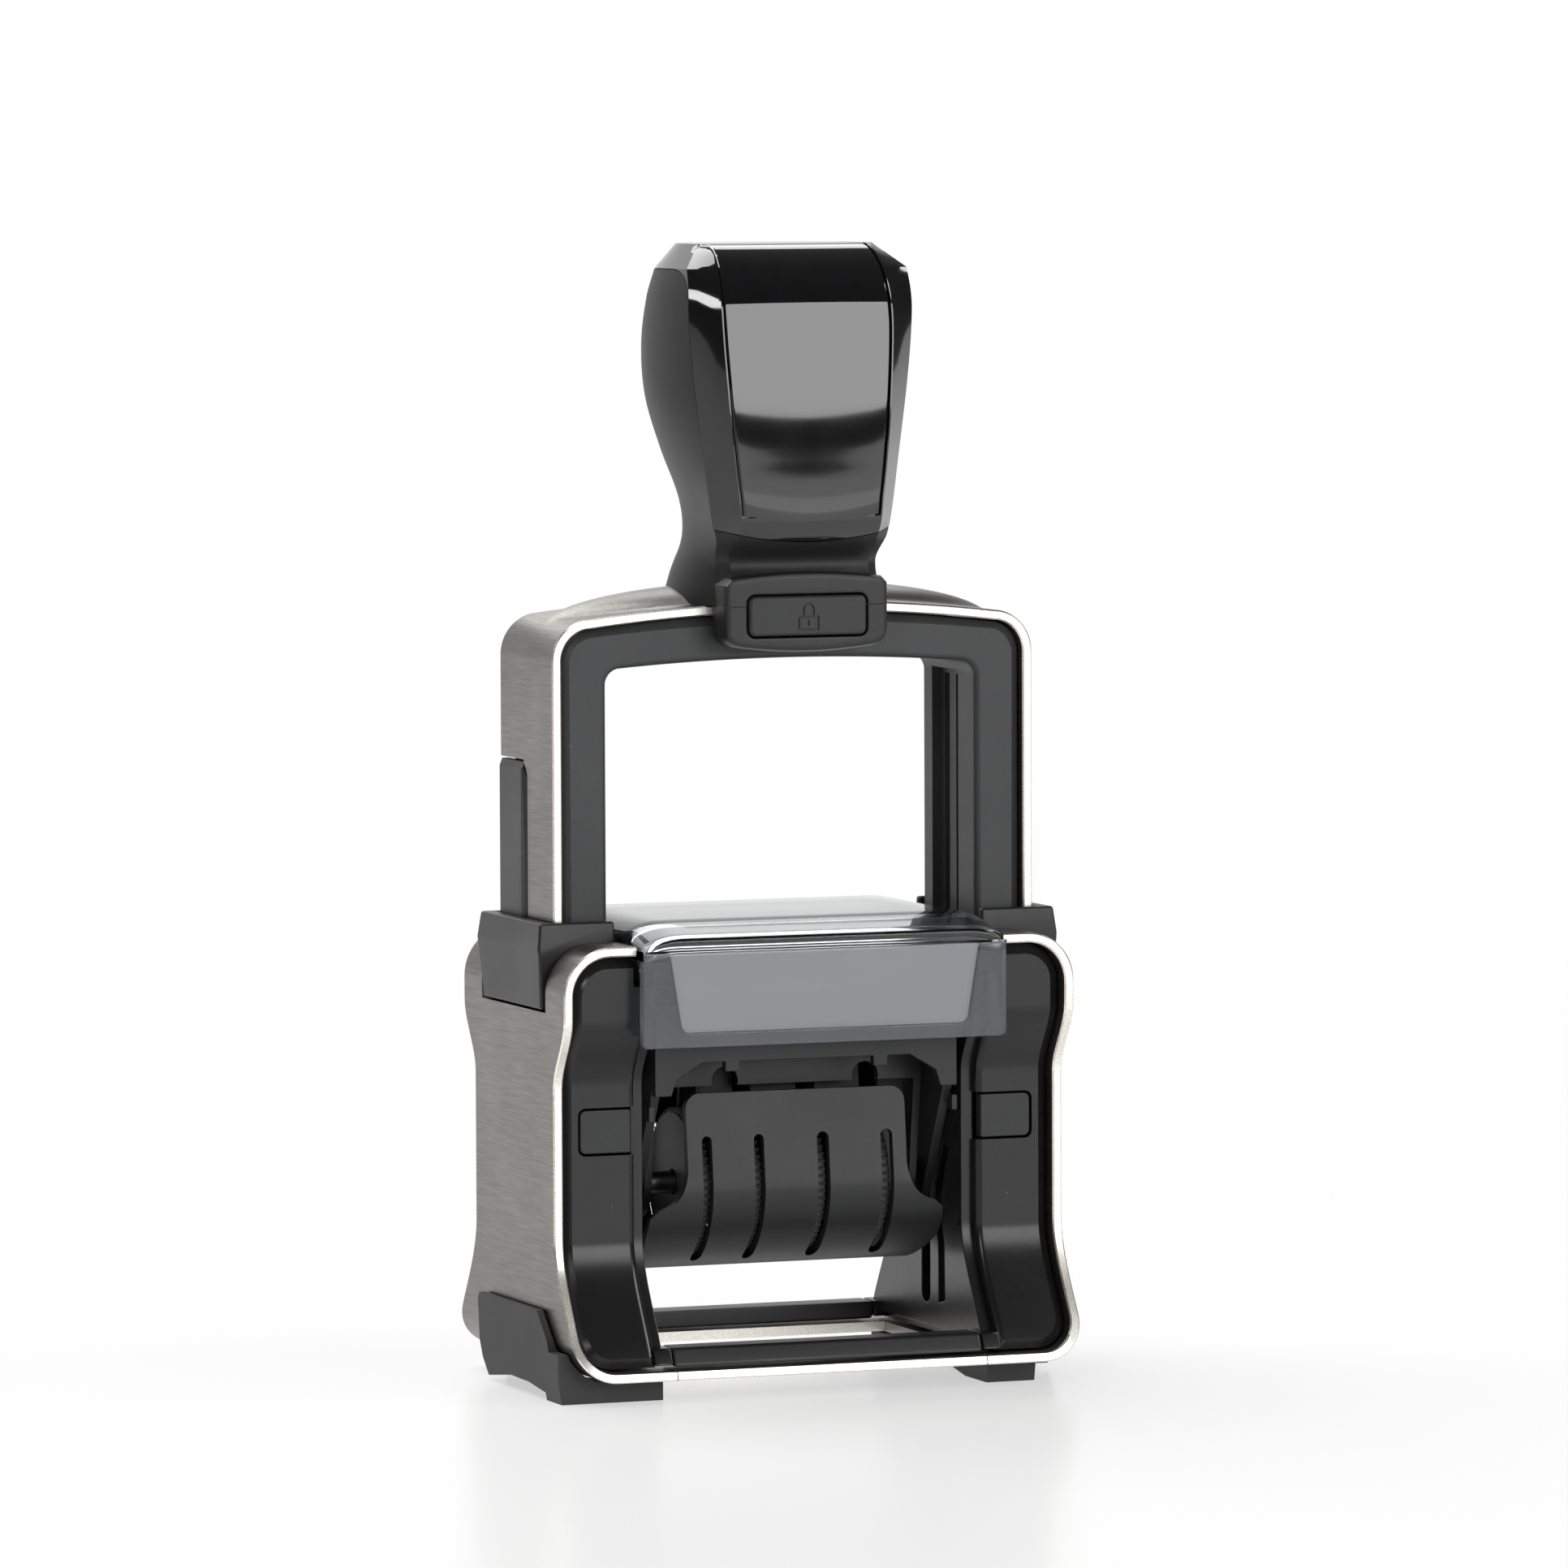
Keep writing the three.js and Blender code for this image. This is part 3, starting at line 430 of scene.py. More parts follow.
# ---------------------------------------------------------------- inner housing and sills
# The base's inner housing is moulded in black plastic in two halves, left and right. Each has a front and a
# rear cheek that follow the band's waist, and a guide wall for the print unit. A sill joins the halves at
# the front and at the rear, with a notch that marks the middle.


def moulded_plastic(name, tone, roughness, grain, grain_depth):
    """Black moulded plastic: a spark-eroded grain, uneven gloss and a few specks of dust."""
    look = bpy.data.materials.new(name)
    look.use_nodes = True
    nodes, links = look.node_tree.nodes, look.node_tree.links
    shader = nodes["Principled BSDF"]
    shader.label, shader.location = "black moulded plastic", (500, 0)
    shader.inputs["IOR"].default_value = 1.46
    grain_frame = nodes.new("NodeFrame")
    grain_frame.label = "grain of the mould"
    where = nodes.new("ShaderNodeTexCoord")
    where.label, where.location, where.parent = "place on the moulding", (-900, 0), grain_frame
    pits = nodes.new("ShaderNodeTexNoise")
    pits.label, pits.location, pits.parent = "spark-eroded pits", (-650, 150), grain_frame
    pits.inputs["Scale"].default_value = grain
    pits.inputs["Detail"].default_value = 2
    links.new(where.outputs["Object"], pits.inputs["Vector"])
    cloud = nodes.new("ShaderNodeTexNoise")
    cloud.label, cloud.location, cloud.parent = "handling and flow marks", (-650, -150), grain_frame
    cloud.inputs["Scale"].default_value = 90
    cloud.inputs["Detail"].default_value = 5
    links.new(where.outputs["Object"], cloud.inputs["Vector"])
    relief = nodes.new("ShaderNodeBump")
    relief.label, relief.location, relief.parent = "depth of the pits", (-350, 150), grain_frame
    relief.inputs["Strength"].default_value = 0.6
    relief.inputs["Distance"].default_value = grain_depth
    links.new(pits.outputs["Fac"], relief.inputs["Height"])
    links.new(relief.outputs["Normal"], shader.inputs["Normal"])
    wear_frame = nodes.new("NodeFrame")
    wear_frame.label = "gloss and dust"
    gloss = nodes.new("ShaderNodeMapRange")
    gloss.label, gloss.location, gloss.parent = "uneven gloss", (-350, -100), wear_frame
    gloss.inputs["To Min"].default_value = roughness - 0.07
    gloss.inputs["To Max"].default_value = roughness + 0.07
    links.new(cloud.outputs["Fac"], gloss.inputs["Value"])
    links.new(gloss.outputs["Result"], shader.inputs["Roughness"])
    dust = nodes.new("ShaderNodeTexVoronoi")
    dust.label, dust.location, dust.parent = "scattered specks of dust", (-650, -450), wear_frame
    dust.inputs["Scale"].default_value = 260
    links.new(where.outputs["Object"], dust.inputs["Vector"])
    speck = nodes.new("ShaderNodeMapRange")
    speck.label, speck.location, speck.parent = "only the middle of a cell", (-400, -450), wear_frame
    speck.inputs["From Min"].default_value = 0.025
    speck.inputs["From Max"].default_value = 0.015
    links.new(dust.outputs["Distance"], speck.inputs["Value"])
    colour = nodes.new("ShaderNodeMix")
    colour.label, colour.location, colour.parent = "dust over the black", (0, -250), wear_frame
    colour.data_type = "RGBA"
    colour.inputs["A"].default_value = (*tone, 1)
    colour.inputs["B"].default_value = (0.22, 0.21, 0.20, 1)
    links.new(speck.outputs["Result"], colour.inputs["Factor"])
    links.new(colour.outputs["Result"], shader.inputs["Base Color"])
    return look


housing_black = moulded_plastic("housing_black", (0.011, 0.0113, 0.012), 0.4, 7000, 0.00002)
cheek_black = moulded_plastic("cheek_black", (0.008, 0.008, 0.0085), 0.27, 7000, 0.00001)

HOUSING_INSET = 1.6  # the housing's outline lies this far inside the band's
RIM = 1.3  # width of the bevelled rim next to the band
FACE_BACK, RIM_BACK = 1.2, 2.1  # how far the cheeks' faces and their rims lie behind the band's edge


def inset_in_base(x, z):
    """How far a point of the front view lies inside the housing's outline."""
    low = z < 30
    radius = (CORNER_RADIUS if low else SHOULDER_RADIUS) - HOUSING_INSET
    out_x = abs(x) - (CORNER_X if low else SHOULDER_X)
    out_z = CORNER_Z - z if low else z - SHOULDER_Z
    if out_x > 0 and out_z > 0:
        return radius - hypot(out_x, out_z)
    return min(BASE_HALF - HOUSING_INSET - abs(x), radius - out_z)


def waisted_block(inset):
    """The base's waisted side view, set in by a distance, as a block across the whole width."""
    heights = [0.5 * i for i in range(45)] + [24, 28, 32, 36] + [40 + 0.5 * i for i in range(22)] + [62]
    front = [(inset - half_depth(z), z) for z in heights]
    return prism("x", front + [(-y, z) for y, z in reversed(front)], -40, 40)


OPENING, OPENING_RADIUS = 23.9, 1.1  # half width between the cheeks, and their rounding there


def face_back(x, z):
    """How far a cheek's face lies behind the band's edge: bevelled outside, rounded at the opening."""
    rim = RIM_BACK - (RIM_BACK - FACE_BACK) * min(inset_in_base(x, z) / RIM, 1)
    into = min(max(OPENING + OPENING_RADIUS - abs(x), 0) / OPENING_RADIUS, 1)
    return max(rim, FACE_BACK + OPENING_RADIUS * (1 - sqrt(1 - into * into)))


def cheek_block(side):
    """Front and rear cheek of one side as one block, still without the pocket of the leg."""
    sheet = bmesh.new()
    rows = []
    for inset in (HOUSING_INSET, HOUSING_INSET + RIM):
        path = [(OPENING, BASE_TOP - inset)]
        path += arc(SHOULDER_X, SHOULDER_Z, SHOULDER_RADIUS - inset, 90, 0, 16)
        path += arc(CORNER_X, CORNER_Z, CORNER_RADIUS - inset, 0, -90, 16) + [(OPENING, BASE_FOOT + inset)]
        rows.append([sheet.verts.new((side * x, 0, z)) for x, z in path])
    for i in range(len(rows[0]) - 1):
        sheet.faces.new((rows[0][i], rows[0][i + 1], rows[1][i + 1], rows[1][i]))
    sheet.faces.new(rows[1])
    cuts = [((side * (OPENING + OPENING_RADIUS * s), 0, 0), (1, 0, 0)) for s in (0.03, 0.13, 0.32, 0.6, 1)]
    bent_heights = [5.2 + 0.8 * i for i in range(20)] + [40.6 + 0.7 * i for i in range(14)]
    cuts += [((0, 0, z), (0, 0, 1)) for z in bent_heights]
    for place, normal in cuts:
        bmesh.ops.bisect_plane(sheet, geom=sheet.verts[:] + sheet.edges[:] + sheet.faces[:], dist=1e-4,
                               plane_co=place, plane_no=normal)
    sheet.verts.index_update()
    front = [(v.co.x, face_back(v.co.x, v.co.z) - half_depth(v.co.z), v.co.z) for v in sheet.verts]
    count = len(front)
    faces = [[v.index for v in f.verts] for f in sheet.faces]
    faces += [[i + count for i in reversed(face)] for face in faces]
    rims = [[v.index for v in e.verts] for e in sheet.edges if len(e.link_faces) == 1]
    faces += [[a, b, b + count, a + count] for a, b in rims]
    sheet.free()
    return body_of("cheeks", front + [(x, -y, z) for x, y, z in front], faces)


def gather(made, *others):
    """Puts closed bodies that belong to one moulding into one mesh."""
    work = bmesh.new()
    for body in (made, *others):
        work.from_mesh(body.data)
    work.to_mesh(made.data)
    work.free()
    for body in others:
        bpy.data.objects.remove(body)
    return made


LEG_INSIDE, LEG_DEPTH = 23.8, 10.7
WINDOW_HALF, WINDOW_BACK, WINDOW_FOOT = 25.7, 17.8, 45.7  # space of the cartridge's plate and the cover
WALL_INSIDE, WALL_OUTSIDE = 22.4, 24.1
SILL_INSIDE, SILL_OUTSIDE, SILL_TOP = 17.2, 27, 6.9


def leg_space(side, foot):
    """Space of one leg of the upper frame, from a height upwards."""
    return block((side * LEG_INSIDE, side * PAST_X), (-LEG_DEPTH, LEG_DEPTH), (foot, PAST_Z))


def window_space(side, face):
    """Space in a cheek for one end of the cartridge's plate, or of the cover's rear wall."""
    return block((side * 20, side * WINDOW_HALF), (face * WINDOW_BACK, face * PAST_Y), (WINDOW_FOOT, PAST_Z))


slot_view = arc(0, 10.1, 1.5, 180, 360, 8) + [(1.5, 44.2), (-1.5, 44.2)]
groove_view = [(-8.2, 30), (-5.6, 24), (-5.2, 21), (-6.6, 17), (-6.8, 9.5), (-4.5, 9.0), (-4.5, 17),
               (-2.9, 21.5), (-3.5, 25), (-6.2, 31)]
button_space = arc(30.9, 32.6, 1.0, -90, 0, 5) + arc(30.9, 36.9, 1.0, 0, 90, 5)
button_space += [(23.0, 37.9), (23.0, 31.6)]

for name, side in SIDES:
    cheeks = cheek_block(side)
    combine(cheeks, "DIFFERENCE", leg_space(side, 5.7))
    combine(cheeks, "DIFFERENCE", block((side * 20, side * WINDOW_HALF), (-PAST_Y, PAST_Y), (53.8, PAST_Z)))
    combine(cheeks, "DIFFERENCE", collar_space(side))
    for _, face in FACES:
        combine(cheeks, "DIFFERENCE", window_space(side, face))
    combine(cheeks, "DIFFERENCE", prism("y", [(side * x, z) for x, z in button_space], -20, -10))

    wall = block((side * WALL_INSIDE, side * WALL_OUTSIDE), (-PAST_Y, PAST_Y), (5.6, 53.5))
    combine(wall, "INTERSECT", waisted_block(2.8))
    combine(wall, "DIFFERENCE", prism("x", slot_view, side * 20, side * 26),
            prism("x", groove_view, side * 20, side * 23.1), leg_space(side, 5))
    for _, face in FACES:
        combine(wall, "DIFFERENCE", window_space(side, face))
    soften(wall, 0.25, 2)
    toes = []
    for _, face in FACES:
        toe = block((side * 21.75, side * 24.2), (face * SILL_INSIDE, face * SILL_OUTSIDE), (4.75, SILL_TOP))
        combine(toe, "INTERSECT", waisted_block(1.0))
        toes.append(soften(toe, 0.3, 2))
    gather(cheeks, wall, *toes)
    shade(cheeks, 28)
    keep(cheeks, f"housing_{name}", "base", "black_moulding", [cheek_black], f"{name}_housing")

for name, face in FACES:
    sill = block((-21.55, 21.55), (face * SILL_INSIDE, face * SILL_OUTSIDE), (4.5, SILL_TOP))
    combine(sill, "INTERSECT", waisted_block(1.0))
    notch = [(-0.9, face * SILL_OUTSIDE), (0.9, face * SILL_OUTSIDE), (0, face * 22.6)]
    combine(sill, "DIFFERENCE", prism("z", notch, 5.2, 9))
    round_and_keep(sill, 0.35, 2, f"sill_{name}", "base", "black_moulding", [housing_black], f"{name}_sill")

# ---------------------------------------------------------------- release buttons
# Two small plates in the front cheeks. Pressing both frees the ink cartridge. They are moulded in the
# housing's black plastic and lie almost flush with it.

button_black = moulded_plastic("button_black", (0.024, 0.0245, 0.0255), 0.5, 5200, 0.000035)

for name, side in SIDES:
    plate = arc(30.8, 32.7, 0.8, -90, 0, 5) + arc(30.8, 36.8, 0.8, 0, 90, 5) + [(24.6, 37.6), (24.6, 31.9)]
    button = prism("y", [(side * x, z) for x, z in plate], -14.2, -12.4)
    round_and_keep(button, 0.25, 2, f"release_{name}", f"{name}_release", "black_moulding", [button_black],
                   f"{name}_release_button")

# ---------------------------------------------------------------- collars
# Black plastic collars guide the legs of the upper frame through the shoulders of the base. Each is clipped
# over the band, with a folded outer face.


def from_frame(name):
    """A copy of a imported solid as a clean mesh, with flat faces joined up again."""
    work = bmesh.new()
    work.from_mesh(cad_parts[name].data)
    bmesh.ops.remove_doubles(work, verts=work.verts, dist=1e-6)
    bmesh.ops.dissolve_limit(work, angle_limit=radians(1), verts=work.verts, edges=work.edges)
    mesh = bpy.data.meshes.new(name)
    work.to_mesh(mesh)
    work.free()
    made = bpy.data.objects.new(name + "_copy", mesh)
    bpy.context.scene.collection.objects.link(made)
    return made


for name, _ in SIDES:
    round_and_keep(from_frame(f"{name}_collar"), 0.6, 3, f"collar_{name}", "base", "black_moulding",
                   [housing_black], f"{name}_collar")

# ---------------------------------------------------------------- feet
# Soft plastic feet hug the lower corners of the band and keep the stamp from slipping. Both are one
# moulding turned half round, so the long toe points forward on the left and back on the right.

foot_black = moulded_plastic("foot_black", (0.026, 0.026, 0.027), 0.55, 4200, 0.00004)

for name, _ in SIDES:
    round_and_keep(from_frame(f"{name}_foot"), 0.4, 3, f"foot_{name}", "base", "soft_grip", [foot_black],
                   f"{name}_foot")

# ---------------------------------------------------------------- arch of the upper frame
# The upper frame is a bent strip of the same brushed steel. A shallow dome is pressed into its top, and
# the handle sits on it. Its sheared edges are polished, and their paler steel colour is a painted highlight.

ARCH_HALF, ARCH_DEPTH, ARCH_TOP, LEG_END = 33.7, 10.2, 101.4, 37.5
BEND_X, BEND_Z, BEND_RADIUS, CROWN_RISE = 28.2, 95.9, 5.5, 3.4  # bends of the strip, and its crowned top
DOME_FOOT, DOME_RISE, DOME_HALF, DOME_DEPTH, DOME_BLEND = 99.9, 5.6, 31, 9.9, 0.35
ACROSS = 40  # steps across the strip, for the dome


def arch_path(inset, corner_steps=14, top_steps=36):
    """Front view of the arch from the foot of its left leg to the foot of the right, set in from outside."""
    half, top = ARCH_HALF - inset, ARCH_TOP - inset
    left = line((-half, LEG_END), (-half, BEND_Z), 24)
    left += arc(-BEND_X, BEND_Z, BEND_RADIUS - inset, 180, 95, corner_steps)[:-1]
    crown = bend((-BEND_X, top), (0, top + CROWN_RISE), (BEND_X, top), top_steps)
    return mirrored(left + crown[:top_steps // 2 + 1])


def dome_rise(x, y, z):
    """How far the pressed dome stands above the strip's top at a point."""
    share = 1 - (x / DOME_HALF) ** 2 - (y / DOME_DEPTH) ** 2
    rise = DOME_FOOT + DOME_RISE * sqrt(max(share, 0)) - z
    return 0.5 * (rise + hypot(rise, DOME_BLEND)) if share > 0 and rise > -1 else 0


def arch_ring(index, paths):
    """Section of the strip at one station, with enough points across it to carry the dome."""
    x, z = paths[0][index]
    across = [(EDGE - ARCH_DEPTH) * cos(pi * k / ACROSS) for k in range(ACROSS + 1)]
    ring = [(x, y, z + (dome_rise(x, y, z) if z > 99 else 0)) for y in across]
    rear = [(EDGE, 0), (SHEET - EDGE, 0), (SHEET, EDGE)]
    ring += [(*paths[i][index], ARCH_DEPTH - back) for i, back in rear]
    ring += [(*paths[i][index], back - ARCH_DEPTH) for i, back in reversed(rear)]
    return [p if k <= ACROSS else (p[0], p[2], p[1]) for k, p in enumerate(ring)]


paths = {inset: arch_path(inset) for inset in (0, EDGE, SHEET - EDGE, SHEET)}
upper = body_of("arch_band", *loft([arch_ring(i, paths) for i in range(len(paths[0]))]))
for look in (band_steel, edge_steel_painted_highlight):
    upper.data.materials.append(look)
rail_notch = [(-0.3, 30), (-0.3, 80.6), (1.2, 82.6), (12, 82.6), (12, 30)]
combine(upper, "DIFFERENCE", *[prism("x", rail_notch, side * 31, side * 36) for _, side in SIDES])
# Faces towards the front and back at the strip's edges take the painted highlight.
for face in upper.data.polygons:
    face.material_index = 1 if abs(face.normal.y) > 0.6 and abs(face.center.y) > 9.9 * MM else 0
shade(upper)
keep(upper, "arch_band", "upper", "brushed_metal", [], "upper_band")

# ---------------------------------------------------------------- liner of the arch
# A black plastic liner fills the arch and rims its window. Its front has a bevelled border next to the
# steel, and inside each leg runs a channel that the guide of the base slides in.

LINER_DEPTH, BORDER, LINER_ROUNDING = 9.5, 1.2, 0.9


def window_path(corner_steps=14, top_steps=36):
    """Front view of the window, with a point for each point of the arch's own path."""
    left = line((-25.9, LEG_END), (-25.9, 92.6), 24)
    left += arc(-23.7, 92.6, 2.2, 180, 95, corner_steps)[:-1]
    crown = bend((-23.5, 94.8), (0, 96.6), (23.5, 94.8), top_steps)
    return mirrored(left + crown[:top_steps // 2 + 1])


def liner_ring(outer, inner):
    """Section of the liner between the steel and the window."""
    across = Vector(inner) - Vector(outer)
    width = across.length
    front = [(0, 0.75), (BORDER, 0)] + arc(width - LINER_ROUNDING, LINER_ROUNDING, LINER_ROUNDING, -90, 0, 6)
    ring = [(*(Vector(outer) + across * (s / width)), back - LINER_DEPTH) for s, back in front]
    ring = [(x, y, z) for x, z, y in ring]
    return ring + [(x, -y, z) for x, y, z in reversed(ring)]


liner = body_of("arch_liner", *loft([liner_ring(o, w) for o, w in zip(arch_path(1.55), window_path())]))
for _, side in SIDES:
    combine(liner, "DIFFERENCE", block((side * 20, side * 27.1), (-3.4, 5.9), (48, 93.2)),
            block((side * 20, side * 28.4), (-1.9, 0.3), (48, 92.4)),
            block((side * 20, side * 28.4), (2.6, 4.4), (48, 92.4)))
shade(liner, 22)
liner_black = moulded_plastic("liner_black", (0.036, 0.037, 0.039), 0.46, 7000, 0.00003)
keep(liner, "arch_liner", "upper", "black_moulding", [liner_black], "upper_liner")

# ---------------------------------------------------------------- side rails
# A black plastic rail is set into the rear half of each leg. It slides in the collar and keeps the steel
# from scratching.

rail_plan = [(32.5, 0), (33.6, 0), (34.1, 1.1), (34.1, 9.5), (33.5, 10.2), (32.5, 10.2)]
rail_side = [(0, LEG_END), (0, 80.3), (1.3, 82.3), (10.2, 82.3), (10.2, LEG_END)]
rail_front = [(32, 37), (34.2, 37), (34.2, 81.2), (33.4, 82.4), (32, 82.4)]

for name, side in SIDES:
    rail = prism("z", [(side * x, y) for x, y in rail_plan], LEG_END, 82.5)
    combine(rail, "INTERSECT", prism("x", rail_side, side * 30, side * 36),
            prism("y", [(side * x, z) for x, z in rail_front], -1, 11))
    round_and_keep(rail, 0.2, 2, f"rail_{name}", "upper", "black_moulding", [housing_black], f"{name}_rail")

# ---------------------------------------------------------------- pivot pins
# A turned steel pin is pressed into each leg and reaches through the guide wall into the print unit, which
# hangs and turns on the two pins.

PIVOT_Z = 41.6


def turned(axis, centre, profile, steps=40):
    """A turned piece from (place along the axis, radius) pairs, closed at both ends."""
    rings = [across_axis(axis, arc(*centre, radius, 0, 360, steps)[:-1], place) for place, radius in profile]
    return shade(body_of("turned", *loft(rings)))


def bright_metal(name, tone, roughness):
    """Turned or drawn steel with faint tool rings and fingermarks in its polish."""
    look = bpy.data.materials.new(name)
    look.use_nodes = True
    nodes, links = look.node_tree.nodes, look.node_tree.links
    shader = nodes["Principled BSDF"]
    shader.label, shader.location = "bright steel", (300, 0)
    shader.inputs["Metallic"].default_value = 1
    finish = nodes.new("NodeFrame")
    finish.label = "tool marks and polish"
    where = nodes.new("ShaderNodeTexCoord")
    where.label, where.location, where.parent = "place on the part", (-800, 0), finish
    marks = nodes.new("ShaderNodeTexNoise")
    marks.label, marks.location, marks.parent = "fingermarks and oil", (-550, 100), finish
    marks.inputs["Scale"].default_value = 420
    marks.inputs["Detail"].default_value = 4
    links.new(where.outputs["Object"], marks.inputs["Vector"])
    tint = nodes.new("ShaderNodeValToRGB")
    tint.label, tint.location, tint.parent = "duller where it is oily", (-250, 200), finish
    tint.color_ramp.elements[0].color = [0.7 * c for c in tone] + [1]
    tint.color_ramp.elements[1].color = [*tone, 1]
    links.new(marks.outputs["Fac"], tint.inputs["Fac"])
    links.new(tint.outputs["Color"], shader.inputs["Base Color"])
    gloss = nodes.new("ShaderNodeMapRange")
    gloss.label, gloss.location, gloss.parent = "gloss of the polish", (-250, -100), finish
    gloss.inputs["To Min"].default_value = roughness
    gloss.inputs["To Max"].default_value = roughness + 0.15
    links.new(marks.outputs["Fac"], gloss.inputs["Value"])
    links.new(gloss.outputs["Result"], shader.inputs["Roughness"])
    return look


pin_steel = bright_metal("pin_steel", (0.34, 0.335, 0.325), 0.3)
spring_steel = bright_metal("spring_steel", (0.48, 0.47, 0.46), 0.24)

pin_profile = ((19.6, 0.9), (19.9, 1.2), (30.8, 1.2), (31, 1.0))
for name, side in SIDES:
    pin = turned("x", (0, PIVOT_Z), [(side * x, radius) for x, radius in pin_profile])
    keep(pin, f"pin_{name}", "upper", "spring_metal", [pin_steel], f"{name}_pivot_pin")

# ---------------------------------------------------------------- return springs
# A long coil spring stands in the front of each leg, between the floor of the base and the liner. It is
# drawn out of steel wire and lifts the upper frame again after each print.

SPRING_X, SPRING_Y, SPRING_RADIUS, WIRE_RADIUS = 29.1, -5.8, 1.68, 0.3
SPRING_FOOT, SPRING_HEAD, SPRING_TURNS = 6.3, 84.3, 34.0

coil = bpy.data.node_groups.new("coil_spring", "GeometryNodeTree")
coil.is_modifier = True
coil_inputs = {}
for name, kind in (("Radius", "NodeSocketFloat"), ("Height", "NodeSocketFloat"),
                   ("Turns", "NodeSocketFloat"), ("Wire Radius", "NodeSocketFloat"),
                   ("Foot", "NodeSocketVector"), ("Metal", "NodeSocketMaterial")):
    coil_inputs[name] = coil.interface.new_socket(name, in_out="INPUT", socket_type=kind).identifier
coil.interface.new_socket("Spring", in_out="OUTPUT", socket_type="NodeSocketGeometry")
nodes, links = coil.nodes, coil.links
sizes = nodes.new("NodeGroupInput")
sizes.label, sizes.location = "sizes of the spring", (-900, 0)
helix = nodes.new("GeometryNodeCurveSpiral")
helix.label, helix.location = "turns of the wire", (-650, 100)
helix.inputs["Resolution"].default_value = 20
links.new(sizes.outputs["Turns"], helix.inputs["Rotations"])
links.new(sizes.outputs["Radius"], helix.inputs["Start Radius"])
links.new(sizes.outputs["Radius"], helix.inputs["End Radius"])
links.new(sizes.outputs["Height"], helix.inputs["Height"])
wire = nodes.new("GeometryNodeCurvePrimitiveCircle")
wire.label, wire.location = "section of the wire", (-650, -200)
wire.inputs["Resolution"].default_value = 10
links.new(sizes.outputs["Wire Radius"], wire.inputs["Radius"])
drawn = nodes.new("GeometryNodeCurveToMesh")
drawn.label, drawn.location = "wire along the turns", (-400, 0)
drawn.inputs["Fill Caps"].default_value = True
links.new(helix.outputs["Curve"], drawn.inputs["Curve"])
links.new(wire.outputs["Curve"], drawn.inputs["Profile Curve"])
stand = nodes.new("GeometryNodeTransform")
stand.label, stand.location = "stand it on its foot", (-200, 0)
links.new(drawn.outputs["Mesh"], stand.inputs["Geometry"])
links.new(sizes.outputs["Foot"], stand.inputs["Translation"])
smooth = nodes.new("GeometryNodeSetShadeSmooth")
smooth.label, smooth.location = "round wire", (0, 0)
links.new(stand.outputs["Geometry"], smooth.inputs["Geometry"])
real = nodes.new("GeometryNodeRealizeInstances")
real.label, real.location = "one mesh", (200, 0)
links.new(smooth.outputs["Geometry"], real.inputs["Geometry"])
metal = nodes.new("GeometryNodeSetMaterial")
metal.label, metal.location = "spring steel", (400, 0)
links.new(real.outputs["Geometry"], metal.inputs["Geometry"])
links.new(sizes.outputs["Metal"], metal.inputs["Material"])
made_spring = nodes.new("NodeGroupOutput")
made_spring.label, made_spring.location = "spring", (600, 0)
links.new(metal.outputs["Geometry"], made_spring.inputs["Spring"])


def grow(name, tree, identifiers, **settings):
    """A piece grown by a node tree, with its inputs set by their identifiers, as a plain mesh."""
    made = bpy.data.objects.new(name, bpy.data.meshes.new(name))
    bpy.context.scene.collection.objects.link(made)
    step = made.modifiers.new("grow", "NODES")
    step.node_group = tree
    for title, value in settings.items():
        step[identifiers[title.replace("_", " ")]] = value
    return bake(made)


for name, side in SIDES:
    foot = (side * SPRING_X * MM, SPRING_Y * MM, SPRING_FOOT * MM)
    spring = grow(f"spring_{name}", coil, coil_inputs, Radius=SPRING_RADIUS * MM, Turns=SPRING_TURNS,
                  Height=(SPRING_HEAD - SPRING_FOOT) * MM, Wire_Radius=WIRE_RADIUS * MM, Foot=foot,
                  Metal=spring_steel)
    keep(spring, f"spring_{name}", "base", "spring_metal", [spring_steel], f"{name}_return_spring")
    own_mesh(spring)

# ---------------------------------------------------------------- clear cover
# The window over the ink pad is moulded in clear plastic. It clips between the collars, and its ends are
# rounded down to the shoulders of the base.


